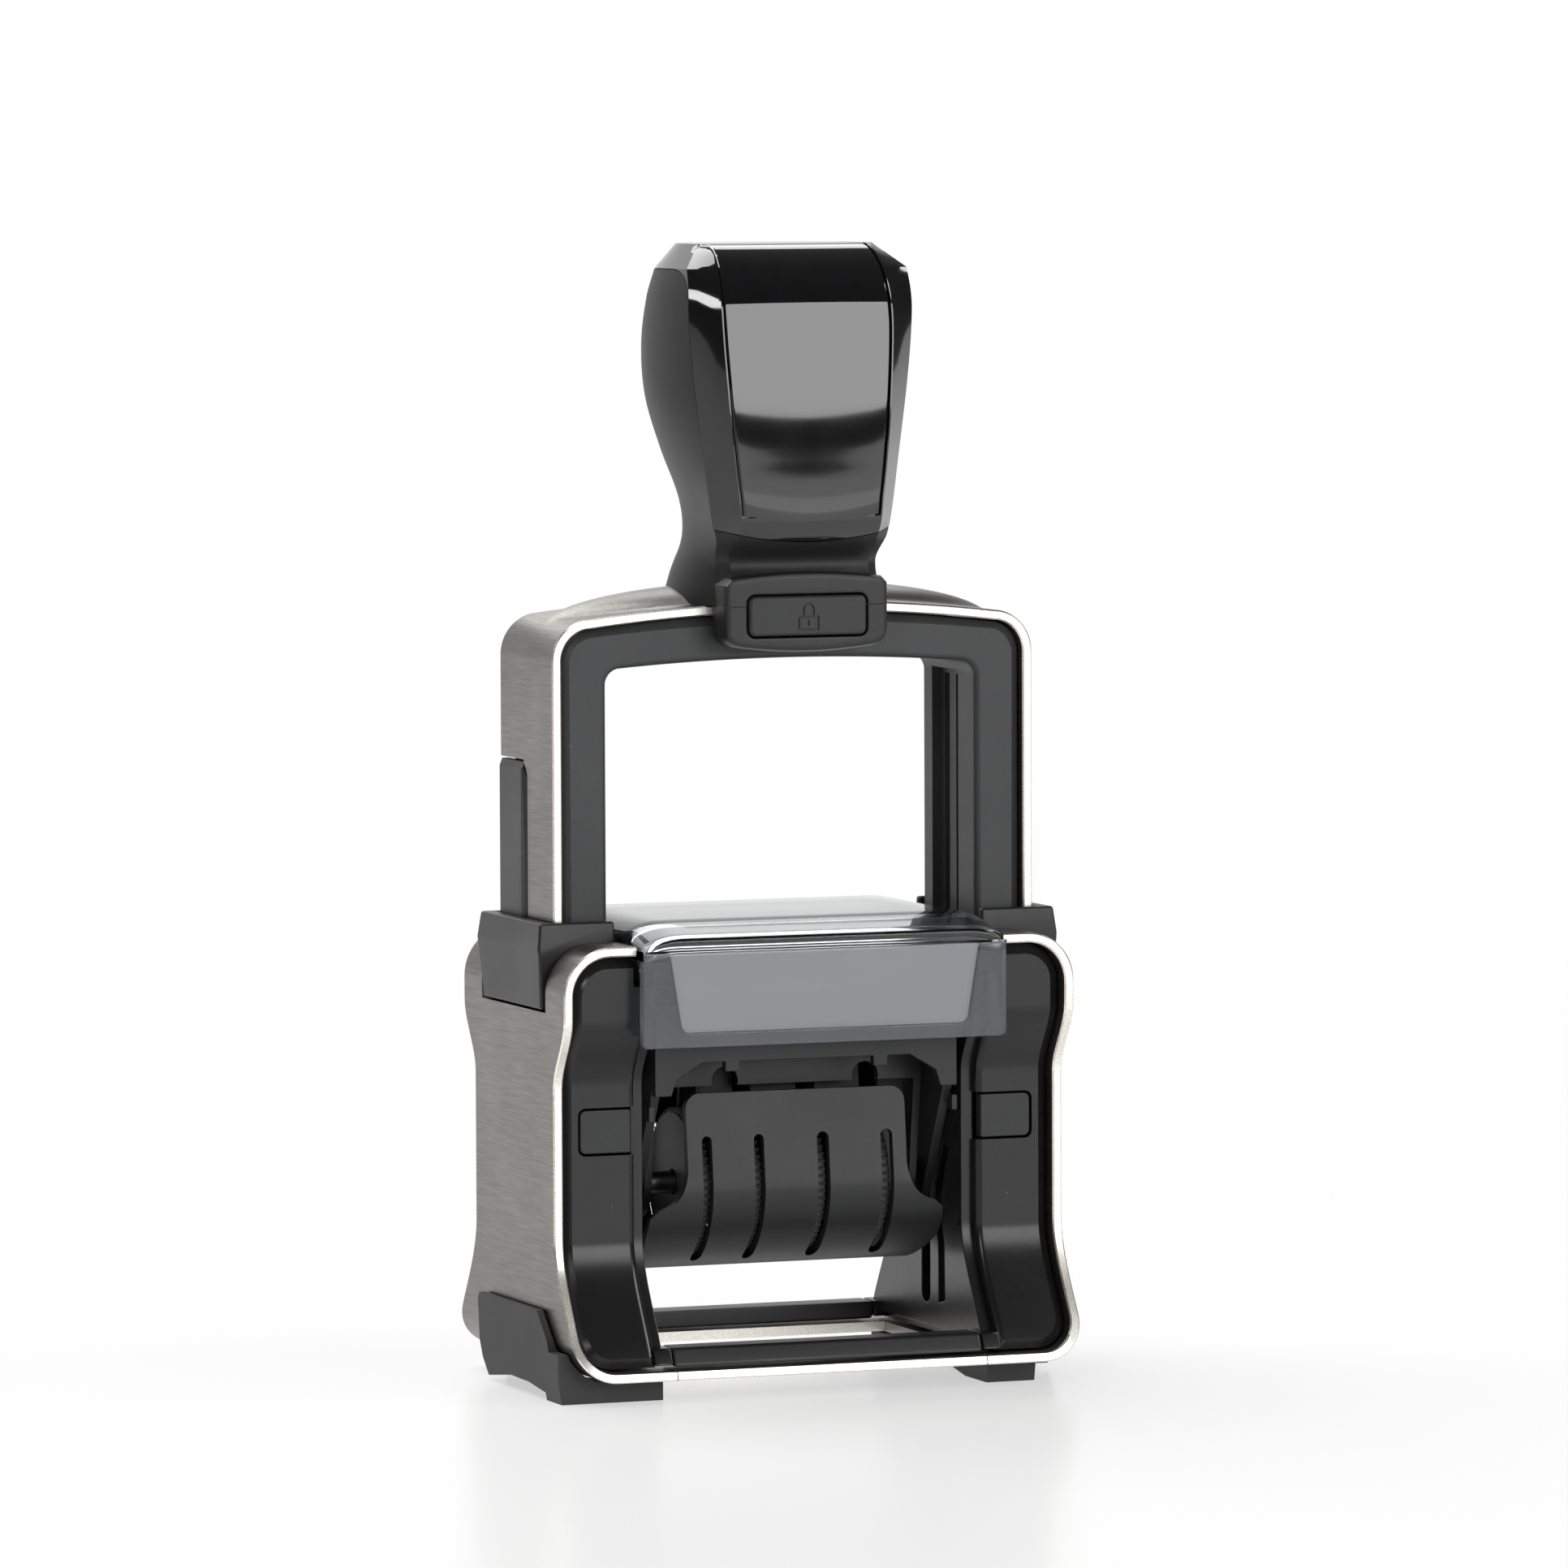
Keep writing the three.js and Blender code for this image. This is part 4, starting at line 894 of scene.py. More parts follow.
def clear_plastic(name, tone, roughness, haze, grain):
    """Clear or frosted plastic: how milky it is, and the fine etch and scratches in its surface."""
    look = bpy.data.materials.new(name)
    look.use_nodes = True
    nodes, links = look.node_tree.nodes, look.node_tree.links
    shader = nodes["Principled BSDF"]
    shader.label, shader.location = "clear plastic", (400, 0)
    shader.inputs["IOR"].default_value = 1.46
    shader.inputs["Transmission Weight"].default_value = 1 - haze
    surface = nodes.new("NodeFrame")
    surface.label = "etch, scratches and tint"
    where = nodes.new("ShaderNodeTexCoord")
    where.label, where.location, where.parent = "place on the window", (-800, 0), surface
    etch = nodes.new("ShaderNodeTexNoise")
    etch.label, etch.location, etch.parent = "fine etch", (-550, 150), surface
    etch.inputs["Scale"].default_value = grain
    links.new(where.outputs["Object"], etch.inputs["Vector"])
    cloud = nodes.new("ShaderNodeTexNoise")
    cloud.label, cloud.location, cloud.parent = "handling marks", (-550, -150), surface
    cloud.inputs["Scale"].default_value = 110
    cloud.inputs["Detail"].default_value = 4
    links.new(where.outputs["Object"], cloud.inputs["Vector"])
    tint = nodes.new("ShaderNodeValToRGB")
    tint.label, tint.location, tint.parent = "slightly uneven tint", (-250, 250), surface
    tint.color_ramp.elements[0].color = [0.92 * c for c in tone] + [1]
    tint.color_ramp.elements[1].color = [*tone, 1]
    links.new(cloud.outputs["Fac"], tint.inputs["Fac"])
    links.new(tint.outputs["Color"], shader.inputs["Base Color"])
    gloss = nodes.new("ShaderNodeMapRange")
    gloss.label, gloss.location, gloss.parent = "clear or frosted", (-250, 0), surface
    gloss.inputs["To Min"].default_value = roughness
    gloss.inputs["To Max"].default_value = roughness + 0.06
    links.new(cloud.outputs["Fac"], gloss.inputs["Value"])
    links.new(gloss.outputs["Result"], shader.inputs["Roughness"])
    relief = nodes.new("ShaderNodeBump")
    relief.label, relief.location, relief.parent = "depth of the etch", (-250, -250), surface
    relief.inputs["Strength"].default_value = 0.12
    relief.inputs["Distance"].default_value = 0.00001
    links.new(etch.outputs["Fac"], relief.inputs["Height"])
    links.new(relief.outputs["Normal"], shader.inputs["Normal"])
    return look


clear_window = clear_plastic("clear_window", (0.93, 0.95, 0.97), 0.02, 0.0, 300)
smoky_clear = clear_plastic("smoky_clear", (0.50, 0.52, 0.55), 0.12, 0.1, 2500)
# The frosted panel's pale grey is partly painted light: besides its real frosting, it stands for light
# shining through from the lit inside.
frosted = clear_plastic("frosted", (0.48, 0.51, 0.54), 0.42, 0.5, 5200)

COVER_HALF, COVER_DEPTH, COVER_TOP, COVER_WALL = 25.4, 21.5, 62.1, 1.5
END_LENGTH, END_DROP = 5.4, 2.3  # the rounded ends: how long they are, and how far they drop


def cover_profile(inset, drop):
    """Side view of the cover, set in by its wall and lowered towards its ends."""
    out, top, low = COVER_DEPTH - inset, COVER_TOP - drop - inset, COVER_TOP - 1.9 - drop - inset
    front = [(-out, 58.7 - inset)] + bend((-out, low - 0.5), (-out, low + 0.2), (1.2 - out, low + 0.6), 5)
    front += bend((-16.2, top - 0.35), (-14.6, top), (-13, top), 5)
    rear = bend((13, top), (14.6, top), (16.2, top - 0.35), 5)
    rear += bend((out - 1.2, low + 0.6), (out, low + 0.2), (out, low - 0.5), 5)
    return front + rear + [(out, 46)]


left_end = [from_end - COVER_HALF for from_end in (0, 0.1, 0.4, 1.0, 1.8, 2.8, 4.0, END_LENGTH)]
rings = []
for x in left_end + list(range(-18, 19, 2)) + [-x for x in reversed(left_end)]:
    past = max(abs(x) + END_LENGTH - COVER_HALF, 0) / END_LENGTH
    drop = END_DROP * (1 - sqrt(max(1 - past * past, 0)))
    outline = cover_profile(0, drop) + list(reversed(cover_profile(COVER_WALL, drop)))
    rings.append([(x, y, z) for y, z in outline])
cover = shade(body_of("cover", *loft(rings)), 28)
keep(cover, "cover", "base", "clear_window", [clear_window], "clear_cover")

# ---------------------------------------------------------------- ink cartridge
# The cartridge slides out to the front. Its clear front plate has a frosted panel to grip, and behind it a
# black tray holds the felt pad face down over the text plate.

PLATE_FRONT, PANEL_FRONT, PANEL_FOOT, PANEL_HALF = -21.5, -21.1, 47.9, 21.6

plate_view = arc(-24.6, 46.8, 0.8, 180, 270, 5) + arc(24.6, 46.8, 0.8, 270, 360, 5)
plate = prism("y", plate_view + [(25.4, 58.4), (-25.4, 58.4)], PLATE_FRONT, -20)
panel_view = arc(-18.9, 49.1, 1.2, 190, 270, 5) + arc(18.9, 49.1, 1.2, 270, 350, 5)
combine(plate, "DIFFERENCE", prism("y", panel_view + [(21.9, 60), (-21.9, 60)], -23, PANEL_FRONT))
soften(plate, 0.3, 2)
combine(plate, "UNION", block((-18, 18), (-20.1, -18.8), (55, 56.6)))
for look in (smoky_clear, frosted):
    plate.data.materials.append(look)
# Faces of the grip panel take the frosted grey, which is partly painted light from the lit inside.
for face in plate.data.polygons:
    x, y, z = face.center / MM
    on_panel = abs(y - PANEL_FRONT) < 0.2 and abs(x) < PANEL_HALF and z > PANEL_FOOT and face.normal.y < -0.8
    face.material_index = 1 if on_panel else 0
shade(plate)
keep(plate, "cartridge_front", "cartridge", "frosted_grip", [], "cartridge_grip")

round_and_keep(from_frame("pad_tray"), 0.35, 2, "cartridge_tray", "cartridge", "black_moulding",
               [housing_black], "pad_tray")

felt = bpy.data.materials.new("inked_felt")
felt.use_nodes = True
nodes, links = felt.node_tree.nodes, felt.node_tree.links
shader = nodes["Principled BSDF"]
shader.label, shader.location = "felt soaked with ink", (300, 0)
shader.inputs["Sheen Weight"].default_value = 0.25
nap = nodes.new("NodeFrame")
nap.label = "nap of the felt"
where = nodes.new("ShaderNodeTexCoord")
where.label, where.location, where.parent = "place on the pad", (-700, 0), nap
fibres = nodes.new("ShaderNodeTexNoise")
fibres.label, fibres.location, fibres.parent = "matted fibres", (-500, 0), nap
fibres.inputs["Scale"].default_value = 2600
fibres.inputs["Detail"].default_value = 6
links.new(where.outputs["Object"], fibres.inputs["Vector"])
ink = nodes.new("ShaderNodeValToRGB")
ink.label, ink.location, ink.parent = "black ink, paler on the tips", (-250, 100), nap
ink.color_ramp.elements[0].color = (0.006, 0.006, 0.009, 1)
ink.color_ramp.elements[1].color = (0.035, 0.035, 0.045, 1)
links.new(fibres.outputs["Fac"], ink.inputs["Fac"])
links.new(ink.outputs["Color"], shader.inputs["Base Color"])
wet = nodes.new("ShaderNodeMapRange")
wet.label, wet.location, wet.parent = "wet in the hollows", (-250, -100), nap
wet.inputs["To Min"].default_value = 0.55
wet.inputs["To Max"].default_value = 0.95
links.new(fibres.outputs["Fac"], wet.inputs["Value"])
links.new(wet.outputs["Result"], shader.inputs["Roughness"])
relief = nodes.new("ShaderNodeBump")
relief.label, relief.location, relief.parent = "depth of the nap", (0, -250), nap
relief.inputs["Strength"].default_value = 0.9
relief.inputs["Distance"].default_value = 0.0002
links.new(fibres.outputs["Fac"], relief.inputs["Height"])
links.new(relief.outputs["Normal"], shader.inputs["Normal"])

round_and_keep(from_frame("ink_pad"), 0.6, 3, "felt_pad", "cartridge", "pad_felt", [felt], "ink_pad")

# ---------------------------------------------------------------- handle
# The handle is a matte grip moulded round a core, which one screw pulls down on the dome. A glossy bezel
# is snapped over its front and top, and a glossy label strip is laid in the bezel.

grip_black = moulded_plastic("grip_black", (0.009, 0.009, 0.0094), 0.48, 6500, 0.00003)


def lacquered_black(name, roughness, haze):
    """Piano-black lacquer: a deep coat with faint swirls from wiping."""
    look = bpy.data.materials.new(name)
    look.use_nodes = True
    nodes, links = look.node_tree.nodes, look.node_tree.links
    shader = nodes["Principled BSDF"]
    shader.label, shader.location = "black lacquer", (300, 0)
    shader.inputs["Coat Weight"].default_value = 0.6
    shader.inputs["Coat Roughness"].default_value = 0.03
    swirl = nodes.new("NodeFrame")
    swirl.label = "wiping marks"
    where = nodes.new("ShaderNodeTexCoord")
    where.label, where.location, where.parent = "place on the lacquer", (-800, 0), swirl
    marks = nodes.new("ShaderNodeTexNoise")
    marks.label, marks.location, marks.parent = "faint swirls", (-550, 0), swirl
    marks.inputs["Scale"].default_value = 160
    marks.inputs["Detail"].default_value = 6
    marks.inputs["Distortion"].default_value = 1.5
    links.new(where.outputs["Object"], marks.inputs["Vector"])
    gloss = nodes.new("ShaderNodeMapRange")
    gloss.label, gloss.location, gloss.parent = "gloss", (-250, 0), swirl
    gloss.inputs["To Min"].default_value = roughness
    gloss.inputs["To Max"].default_value = roughness + haze
    links.new(marks.outputs["Fac"], gloss.inputs["Value"])
    links.new(gloss.outputs["Result"], shader.inputs["Roughness"])
    depth = nodes.new("ShaderNodeValToRGB")
    depth.label, depth.location, depth.parent = "depth of the black", (-250, 250), swirl
    depth.color_ramp.elements[0].color = (0.004, 0.004, 0.0045, 1)
    depth.color_ramp.elements[1].color = (0.008, 0.008, 0.009, 1)
    links.new(marks.outputs["Fac"], depth.inputs["Fac"])
    links.new(depth.outputs["Color"], shader.inputs["Base Color"])
    return look


bezel_gloss = lacquered_black("bezel_gloss", 0.06, 0.05)
label_gloss = lacquered_black("label_gloss", 0.035, 0.03)

CAP_EDGE, CAP_TOP = 146.8, 150
CREASE_BACK = -13.2  # the crease between grip and bezel, over most of its height
CROWN = 0.35  # how far the middle of the front stands proud of its edges
FACE_STEPS, FACET_STEPS, FLANK_STEPS = 6, 4, 24
# Each measure of the handle at its heights: half width, back, crease, front face and label edge.
HALF_WIDTH = [(96, 16), (102.5, 14.3), (106.4, 13.2), (110.5, 12), (116, 12.3), (123, 14.5), (130, 16.3),
              (137, 16.9), (143, 16.6), (CAP_EDGE, 15.8)]
BACK = [(96, 10.2), (102.5, 10.4), (109.5, 10.7), (115, 11.8), (122, 13.6), (130, 15.2), (137, 15),
        (143, 13), (CAP_EDGE, 10.9)]
CREASE_X = [(96, 11.1), (105, 11.1), (109, 11.3), (114, 12.5), (122, 13.6), (133, 15), (141, 15.6),
            (CAP_EDGE, 15.4)]
CREASE_Y = [(96, -12.2), (104.5, -12.2), (106.5, -11.5), (108.6, -10.9), (109.8, -11.6), (111.4, -13),
            (113, -13.2), (141, -13.2), (144, -12.9), (CAP_EDGE, -11.9)]
FRONT = [(96, -14), (104.6, -14), (105.8, -13.6), (107, -12.7), (108.3, -12.2), (109.5, -12.8),
         (110.4, -13.9), (111.4, -15.2), (113, -16.4), (114.5, -16.9), (122, -16.85), (130, -16.6),
         (136, -16.2), (141, -15.7), (144, -14.8), (146.5, -13.3), (148.2, -11.6), (149.3, -9.9),
         (CAP_TOP, -8)]
LABEL_HALF = [(96, 9.8), (109.4, 9.7), (115, 9.9), (122, 10.7), (130, 11.4), (140, 11.95), (147, 11.7),
              (CAP_TOP, 11.3)]
CAP_RIM = {"half": 12.6, "back": 7, "crease_x": 12.2, "crease_y": -7.4}


def through(stops, z):
    """Value at a height on a smooth curve through (height, value) stops."""
    i = next((k for k in range(len(stops) - 1) if z <= stops[k + 1][0]), len(stops) - 2)
    (z_before, v_before), (z_after, v_after) = stops[max(i - 1, 0)], stops[min(i + 2, len(stops) - 1)]
    (z0, v0), (z1, v1) = stops[i], stops[i + 1]
    slope0, slope1 = (v1 - v_before) / (z1 - z_before), (v_after - v0) / (z_after - z0)
    t, rise = (z - z0) / (z1 - z0), z1 - z0
    return ((2 * t ** 3 - 3 * t ** 2 + 1) * v0 + (t ** 3 - 2 * t ** 2 + t) * rise * slope0
            + (3 * t ** 2 - 2 * t ** 3) * v1 + (t ** 3 - t ** 2) * rise * slope1)


def to_cap(stops, z, rim):
    """The same, but straight to the rim of the flat top from the cap's edge upwards."""
    if z <= CAP_EDGE:
        return through(stops, z)
    share = (z - CAP_EDGE) / (CAP_TOP - CAP_EDGE)
    return stops[-1][1] + share * (rim - stops[-1][1])


def handle_ring(z):
    """Plan of the handle at a height: crowned front, two facets, flanks and rounded back."""
    front, half = through(FRONT, z), through(LABEL_HALF, z)
    crease = Vector((to_cap(CREASE_X, z, CAP_RIM["crease_x"]), to_cap(CREASE_Y, z, CAP_RIM["crease_y"])))
    crease.y = max(crease.y, front + 0.25)
    width, back = to_cap(HALF_WIDTH, z, CAP_RIM["half"]), to_cap(BACK, z, CAP_RIM["back"])
    across = [k / FACE_STEPS for k in range(FACE_STEPS + 1)]
    face = [(half * share, front - CROWN * (1 - share ** 2)) for share in across]
    facet = [tuple(Vector((half, front)).lerp(crease, k / FACET_STEPS)) for k in range(1, FACET_STEPS)]
    side = (crease.x + 2.2 * (width - crease.x), -2 + 0.5 * (crease.y - CREASE_BACK))
    flank = []
    for k in range(FLANK_STEPS + 1):
        t = k / FLANK_STEPS
        weights = ((1 - t) ** 3, 3 * (1 - t) ** 2 * t, 3 * (1 - t) * t * t, t ** 3)
        controls = (crease, side, (1.04 * width, back), (0, back))
        flank.append(tuple(sum(w * p[axis] for w, p in zip(weights, controls)) for axis in (0, 1)))
    right = face + facet + flank
    left = [(-x, y) for x, y in reversed(right[1:-1])]
    return [(x, y, z) for x, y in right + left]


def handle_solid():
    """The whole handle, with more rings where its outline bends."""
    heights = [96 + 0.6 * i for i in range(25)] + [111 + 0.5 * i for i in range(8)]
    heights += [115 + 1.25 * i for i in range(21)] + [141 + 0.58 * i for i in range(10)]
    heights += [CAP_EDGE + 0.4 * i for i in range(9)]
    return body_of("handle", *loft([handle_ring(z) for z in heights]))


def handle_over_arch():
    """The handle cut off along the top of the arch."""
    return combine(handle_solid(), "DIFFERENCE", prism("y", arch_path(-0.05), -20, 20))


def bezel_space(gap):
    """Space of the bezel: in front of the crease and above the cap's edge, rounded in between."""
    back, edge = CREASE_BACK + gap, CAP_EDGE - gap
    side_view = [(-20, 110), (back, 110)] + bend((back, 141.5), (back + 0.2, edge), (-7.5, edge), 8)
    side_view += [(20, edge), (20, 160), (-20, 160)]
    front_view = bend((-14, 113.4 - gap), (0, 109 - gap), (14, 113.4 - gap), 16)
    front_view = [(-20, 160), (-20, 113.6)] + front_view + [(20, 113.6), (20, 160)]
    return combine(prism("x", side_view, -20, 20), "INTERSECT", prism("y", front_view, -30, 30))


def label_strip(half_change, bottom, end, section):
    """The label's strip over the front and top. A section lists (from the middle, depth) pairs."""
    heights = [bottom + 1.2 * i for i in range(22)] + [142 + 0.5 * i for i in range(16)]
    path = [(through(FRONT, z), z) for z in heights]
    path += [(y, CAP_TOP) for y in (-7.6, -6.5, -4.5, -2.5, end - 0.6, end)]
    rings = []
    for i, (y, z) in enumerate(path):
        along = Vector((0, *path[min(i + 1, len(path) - 1)])) - Vector((0, *path[max(i - 1, 0)]))
        along.normalize()
        outward = along.cross(Vector((-1, 0, 0)))
        half = through(LABEL_HALF, min(z, CAP_TOP)) + half_change
        sag = 0.9 * (1 - smoothstep(z, bottom, bottom + 6))
        ring = []
        for offset, depth in section(half):
            lift = CROWN * max(1 - (offset / half) ** 2, 0) * (1 - smoothstep(z, 144, 149.5))
            point = Vector((offset, y, z)) + outward * (lift - depth)
            point.z -= sag * (1 - (offset / half) ** 2)
            ring.append(tuple(point))
        rings.append(ring)
    return body_of("strip", *loft(rings))


def laid_section(half):
    """Crowned strip with rounded long edges, 0.9 thick."""
    rounded = ((0, 0.9), (0, 0.3), (0.07, 0.13), (0.2, 0.03), (0.42, 0))
    edge = [(half - back, depth) for back, depth in rounded]
    middle = [(half * k / 5, 0) for k in range(4, -5, -1)]
    return edge + middle + [(-x, depth) for x, depth in reversed(edge)]


def pocket_section(half):
    """Section of the pocket that the strip lies in, open to the outside."""
    return [(half, 1.05), (half, -2), (-half, -2), (-half, 1.05)]


def label_pocket():
    """Space of the label in the bezel and the grip, a little larger than the label."""
    return label_strip(-0.2, 114.45, 0.7, pocket_section)


def rounded_rectangle(half_u, half_v, middle_v, corner, steps):
    """Outline of a rectangle about the middle line, with round corners."""
    corners = ((1, 1, 0), (-1, 1, 90), (-1, -1, 180), (1, -1, 270))
    return [point for u, v, start in corners
            for point in arc(u * (half_u - corner), middle_v + v * (half_v - corner), corner, start,
                             start + 90, steps)]


DOME_GAP, BEZEL_GAP = 0.05, 0.12  # what the grip leaves free round the arch's dome and the bezel
core_view = rounded_rectangle(7.2, 7.2, 0, 3, 6)
dome_points = []
for i in range(1, 12):
    turn = pi * i / 24
    wide, deep = (DOME_HALF + DOME_GAP) * sin(turn), (DOME_DEPTH + DOME_GAP) * sin(turn)
    z = DOME_FOOT + (DOME_RISE + DOME_GAP) * cos(turn)
    dome_points.append([(wide * cos(t), deep * sin(t), z) for t in (2 * pi * k / 72 for k in range(72))])
dome_foot = [(x, y, 90) for x, y, _ in dome_points[-1]]
grip = combine(handle_over_arch(), "DIFFERENCE", body_of("dome", *loft(dome_points + [dome_foot])))
lock_space = block((-8.6, 8.6), (-20, -11.3), (98, 104.6))
combine(grip, "DIFFERENCE", bezel_space(BEZEL_GAP), label_pocket(), lock_space)
# The hollow for the core comes last, because a hollow closed all round upsets a later cut.
combine(grip, "DIFFERENCE", prism("z", [(1.04 * x, 1.04 * y) for x, y in core_view], 112, 146.3))
shade(grip, 30)
keep(grip, "grip", "upper", "soft_grip", [grip_black], "handle_grip")

bezel = combine(handle_solid(), "INTERSECT", bezel_space(0))
combine(bezel, "DIFFERENCE", label_pocket())
shade(bezel, 26)
keep(bezel, "bezel", "upper", "piano_black", [bezel_gloss], "handle_bezel")

label = shade(label_strip(-0.35, 114.8, 0.5, laid_section), 26)
keep(label, "label", "upper", "piano_black", [label_gloss], "label_panel")

core = prism("z", core_view, 112.3, 146)
combine(core, "DIFFERENCE", prism("z", arc(0, 0, 2.3, 0, 360, 32)[:-1], 110, 119.3))
round_and_keep(core, 0.3, 2, "core", "upper", "black_moulding", [housing_black], "handle_core")

screw_profile = [(97, 3.1), (97.4, 3.5), (98.7, 3.5), (99, 3.2), (99, 2), (118.2, 2), (119, 1.2)]
screw = turned("z", (0, 0), screw_profile)
socket = arc(0, 0, 1.7, 0, 360, 6)[:-1]
combine(screw, "DIFFERENCE", prism("z", socket, 96, 98.3))
shade(screw)
keep(screw, "screw", "upper", "spring_metal", [pin_steel], "handle_screw")

# ---------------------------------------------------------------- lock
# A moulded housing clips over the arch under the handle. Its push button holds the stamp half-way down
# while the cartridge is changed, and carries a small padlock sign.

LOCK_HALF, LOCK_FRONT = 11.45, -15.3
PUSH_HALF, PUSH_HEIGHT, PUSH_MIDDLE, PUSH_CORNER = 8.2, 5.2, 101.5, 0.9
WELL_GAP = 0.22  # free all round the button


def round_edges(made, chosen, width, segments):
    """Rounds or bevels the edges that a rule chooses by their two ends, in millimetres."""
    work = bmesh.new()
    work.from_mesh(made.data)
    edges = [e for e in work.edges if len(e.link_faces) == 2 and e.calc_face_angle(0) > 0.3
             and all(chosen(*(v.co / MM)) for v in e.verts)]
    bmesh.ops.bevel(work, geom=edges, offset=width * MM, segments=segments, profile=0.5,
                    affect="EDGES", clamp_overlap=True)
    bmesh.ops.remove_doubles(work, verts=work.verts, dist=1e-6)
    work.to_mesh(made.data)
    work.free()


def push_view(gap):
    """Front view of the push button, or with a gap of the well that it moves in."""
    return rounded_rectangle(PUSH_HALF + gap, PUSH_HEIGHT / 2 + gap, PUSH_MIDDLE, PUSH_CORNER + gap, 5)


lock_view = bend((-LOCK_HALF, 99.6), (-LOCK_HALF, 97.4), (-8, 97.2), 6)[:-1]
lock_view += bend((-8, 97.2), (0, 96.2), (8, 97.2), 12)[:-1]
lock_view += bend((8, 97.2), (LOCK_HALF, 97.4), (LOCK_HALF, 99.6), 6) + [(LOCK_HALF, 105.6)]
lock_view += bend((10.6, 106.5), (0, 107.9), (-10.6, 106.5), 14) + [(-LOCK_HALF, 105.6)]
lock_body = prism("y", lock_view, LOCK_FRONT, -10.4)
round_edges(lock_body, lambda x, y, z: y < LOCK_FRONT + 0.01, 0.9, 2)
seams = [block((side * 8.3, side * 12), (-20, -14.9), (102.72, 102.88)) for _, side in SIDES]
combine(lock_body, "DIFFERENCE", handle_over_arch(), *seams)
combine(lock_body, "DIFFERENCE", prism("y", push_view(WELL_GAP), -20, -11.4))
round_edges(lock_body, lambda x, y, z: y < LOCK_FRONT + 0.01 and abs(x) < 8.5 and 98.6 < z < 104.4, 0.3, 2)
shade(lock_body)
keep(lock_body, "lock_body", "upper", "black_moulding", [housing_black], "lock_housing")

push = prism("y", push_view(0), LOCK_FRONT - 0.3, -13.5)
soften(push, 0.45, 3)
SIGN_FRONT, SIGN_BACK, SHACKLE_Z = -17, LOCK_FRONT - 0.08, 102.35
shackle = arc(0, SHACKLE_Z, 0.85, 0, 180, 10) + [(-0.85, 101.3), (-0.55, 101.3)]
shackle += arc(0, SHACKLE_Z, 0.55, 180, 0, 10) + [(0.55, 101.3), (0.85, 101.3)]
plate_outside = [(-1.5, 99.55), (1.5, 99.55), (1.5, 101.5), (-1.5, 101.5)]
plate_inside = [(-1.2, 99.85), (1.2, 99.85), (1.2, 101.2), (-1.2, 101.2)]
keyhole = [(-0.14, 100.2), (0.14, 100.2), (0.14, 100.9), (-0.14, 100.9)]
plate_groove = prism("y", plate_outside, SIGN_FRONT, SIGN_BACK)
combine(plate_groove, "DIFFERENCE", prism("y", plate_inside, SIGN_FRONT - 1, -14))
combine(push, "DIFFERENCE", prism("y", shackle, SIGN_FRONT, SIGN_BACK), plate_groove,
        prism("y", keyhole, SIGN_FRONT, SIGN_BACK),
        prism("y", arc(0, PUSH_MIDDLE, 1.8, 0, 360, 24)[:-1], -14.8, -13))
shade(push)
keep(push, "lock_push", "lock", "black_moulding", [button_black], "lock_button")

lock_coil = grow("lock_coil", coil, coil_inputs, Radius=1.2 * MM, Turns=5.0, Height=1.4 * MM,
                 Wire_Radius=0.14 * MM, Foot=(0, 0, 0), Metal=spring_steel)
for point in lock_coil.data.vertices:
    x, y, z = point.co
    point.co = (x, z - 13.1 * MM, PUSH_MIDDLE * MM - y)
keep(lock_coil, "lock_coil", "upper", "spring_metal", [spring_steel], "lock_spring")

# ---------------------------------------------------------------- print unit
# The holder carries the rubber text plate on its deck and tapers to the wheel axle at both ends. Between
# its cheeks sits the date unit: a small frame, a comb bar and four thumb wheels with rubber bands.

holder = from_frame("type_holder")
lugs = [block((side * 20.9, side * 21.7), (-13.2, -11.6), (35.6, 37.6)) for _, side in SIDES]
combine(holder, "UNION", *lugs)
round_and_keep(holder, 0.25, 2, "holder", "print_unit", "black_moulding", [housing_black], "type_holder")

for node, name in (("band_frame", "date_frame"), ("nose_bar", "comb_bar")):
    round_and_keep(from_frame(node), 0.2, 2, name, "print_unit", "black_moulding", [housing_black], node)

AXLE_Z = 26.2
axle = turned("x", (0, AXLE_Z), [(-21, 1.2), (-20.7, 1.5), (20.7, 1.5), (21, 1.2)])
keep(axle, "axle", "print_unit", "spring_metal", [pin_steel], "wheel_axle")

rubber = moulded_plastic("print_rubber", (0.03, 0.028, 0.028), 0.62, 3000, 0.00002)
round_and_keep(from_frame("text_plate"), 0.12, 2, "text_rubber", "print_unit", "print_rubber", [rubber],
               "text_plate")

# ---------------------------------------------------------------- thumb wheels
# Four thumb wheels turn on the axle, each with a knurled rim that shows in a slot of the covers and a hub
# that drives its date band. They are moulded in black plastic; their lighter grey is a painted sheen.

WHEEL_X, HUB_ENDS = (-12.65, -5.35, 3.65, 12.65), (-6.6, 2.4, 11.4, 17.6)
RIM_RADIUS, DISC_RADIUS, DISC_HALF, HUB_RADIUS, BORE_RADIUS = 9.5, 9.2, 0.95, 4.4, 1.8
TEETH, TOOTH = 60, 0.38

knurl = bpy.data.node_groups.new("knurled_rim", "GeometryNodeTree")
knurl.is_modifier = True
knurl_inputs = {}
for name, kind in (("Disc", "NodeSocketGeometry"), ("Rim Radius", "NodeSocketFloat"),
                   ("Width", "NodeSocketFloat"), ("Tooth Height", "NodeSocketFloat"),
                   ("Teeth", "NodeSocketInt"), ("Middle", "NodeSocketVector"),
                   ("Plastic", "NodeSocketMaterial")):
    knurl_inputs[name] = knurl.interface.new_socket(name, in_out="INPUT", socket_type=kind).identifier
knurl.interface.new_socket("Wheel", in_out="OUTPUT", socket_type="NodeSocketGeometry")
nodes, links = knurl.nodes, knurl.links
sizes = nodes.new("NodeGroupInput")
sizes.label, sizes.location = "disc and sizes of its knurl", (-1100, 0)
ring_of_teeth = nodes.new("GeometryNodeMeshCircle")
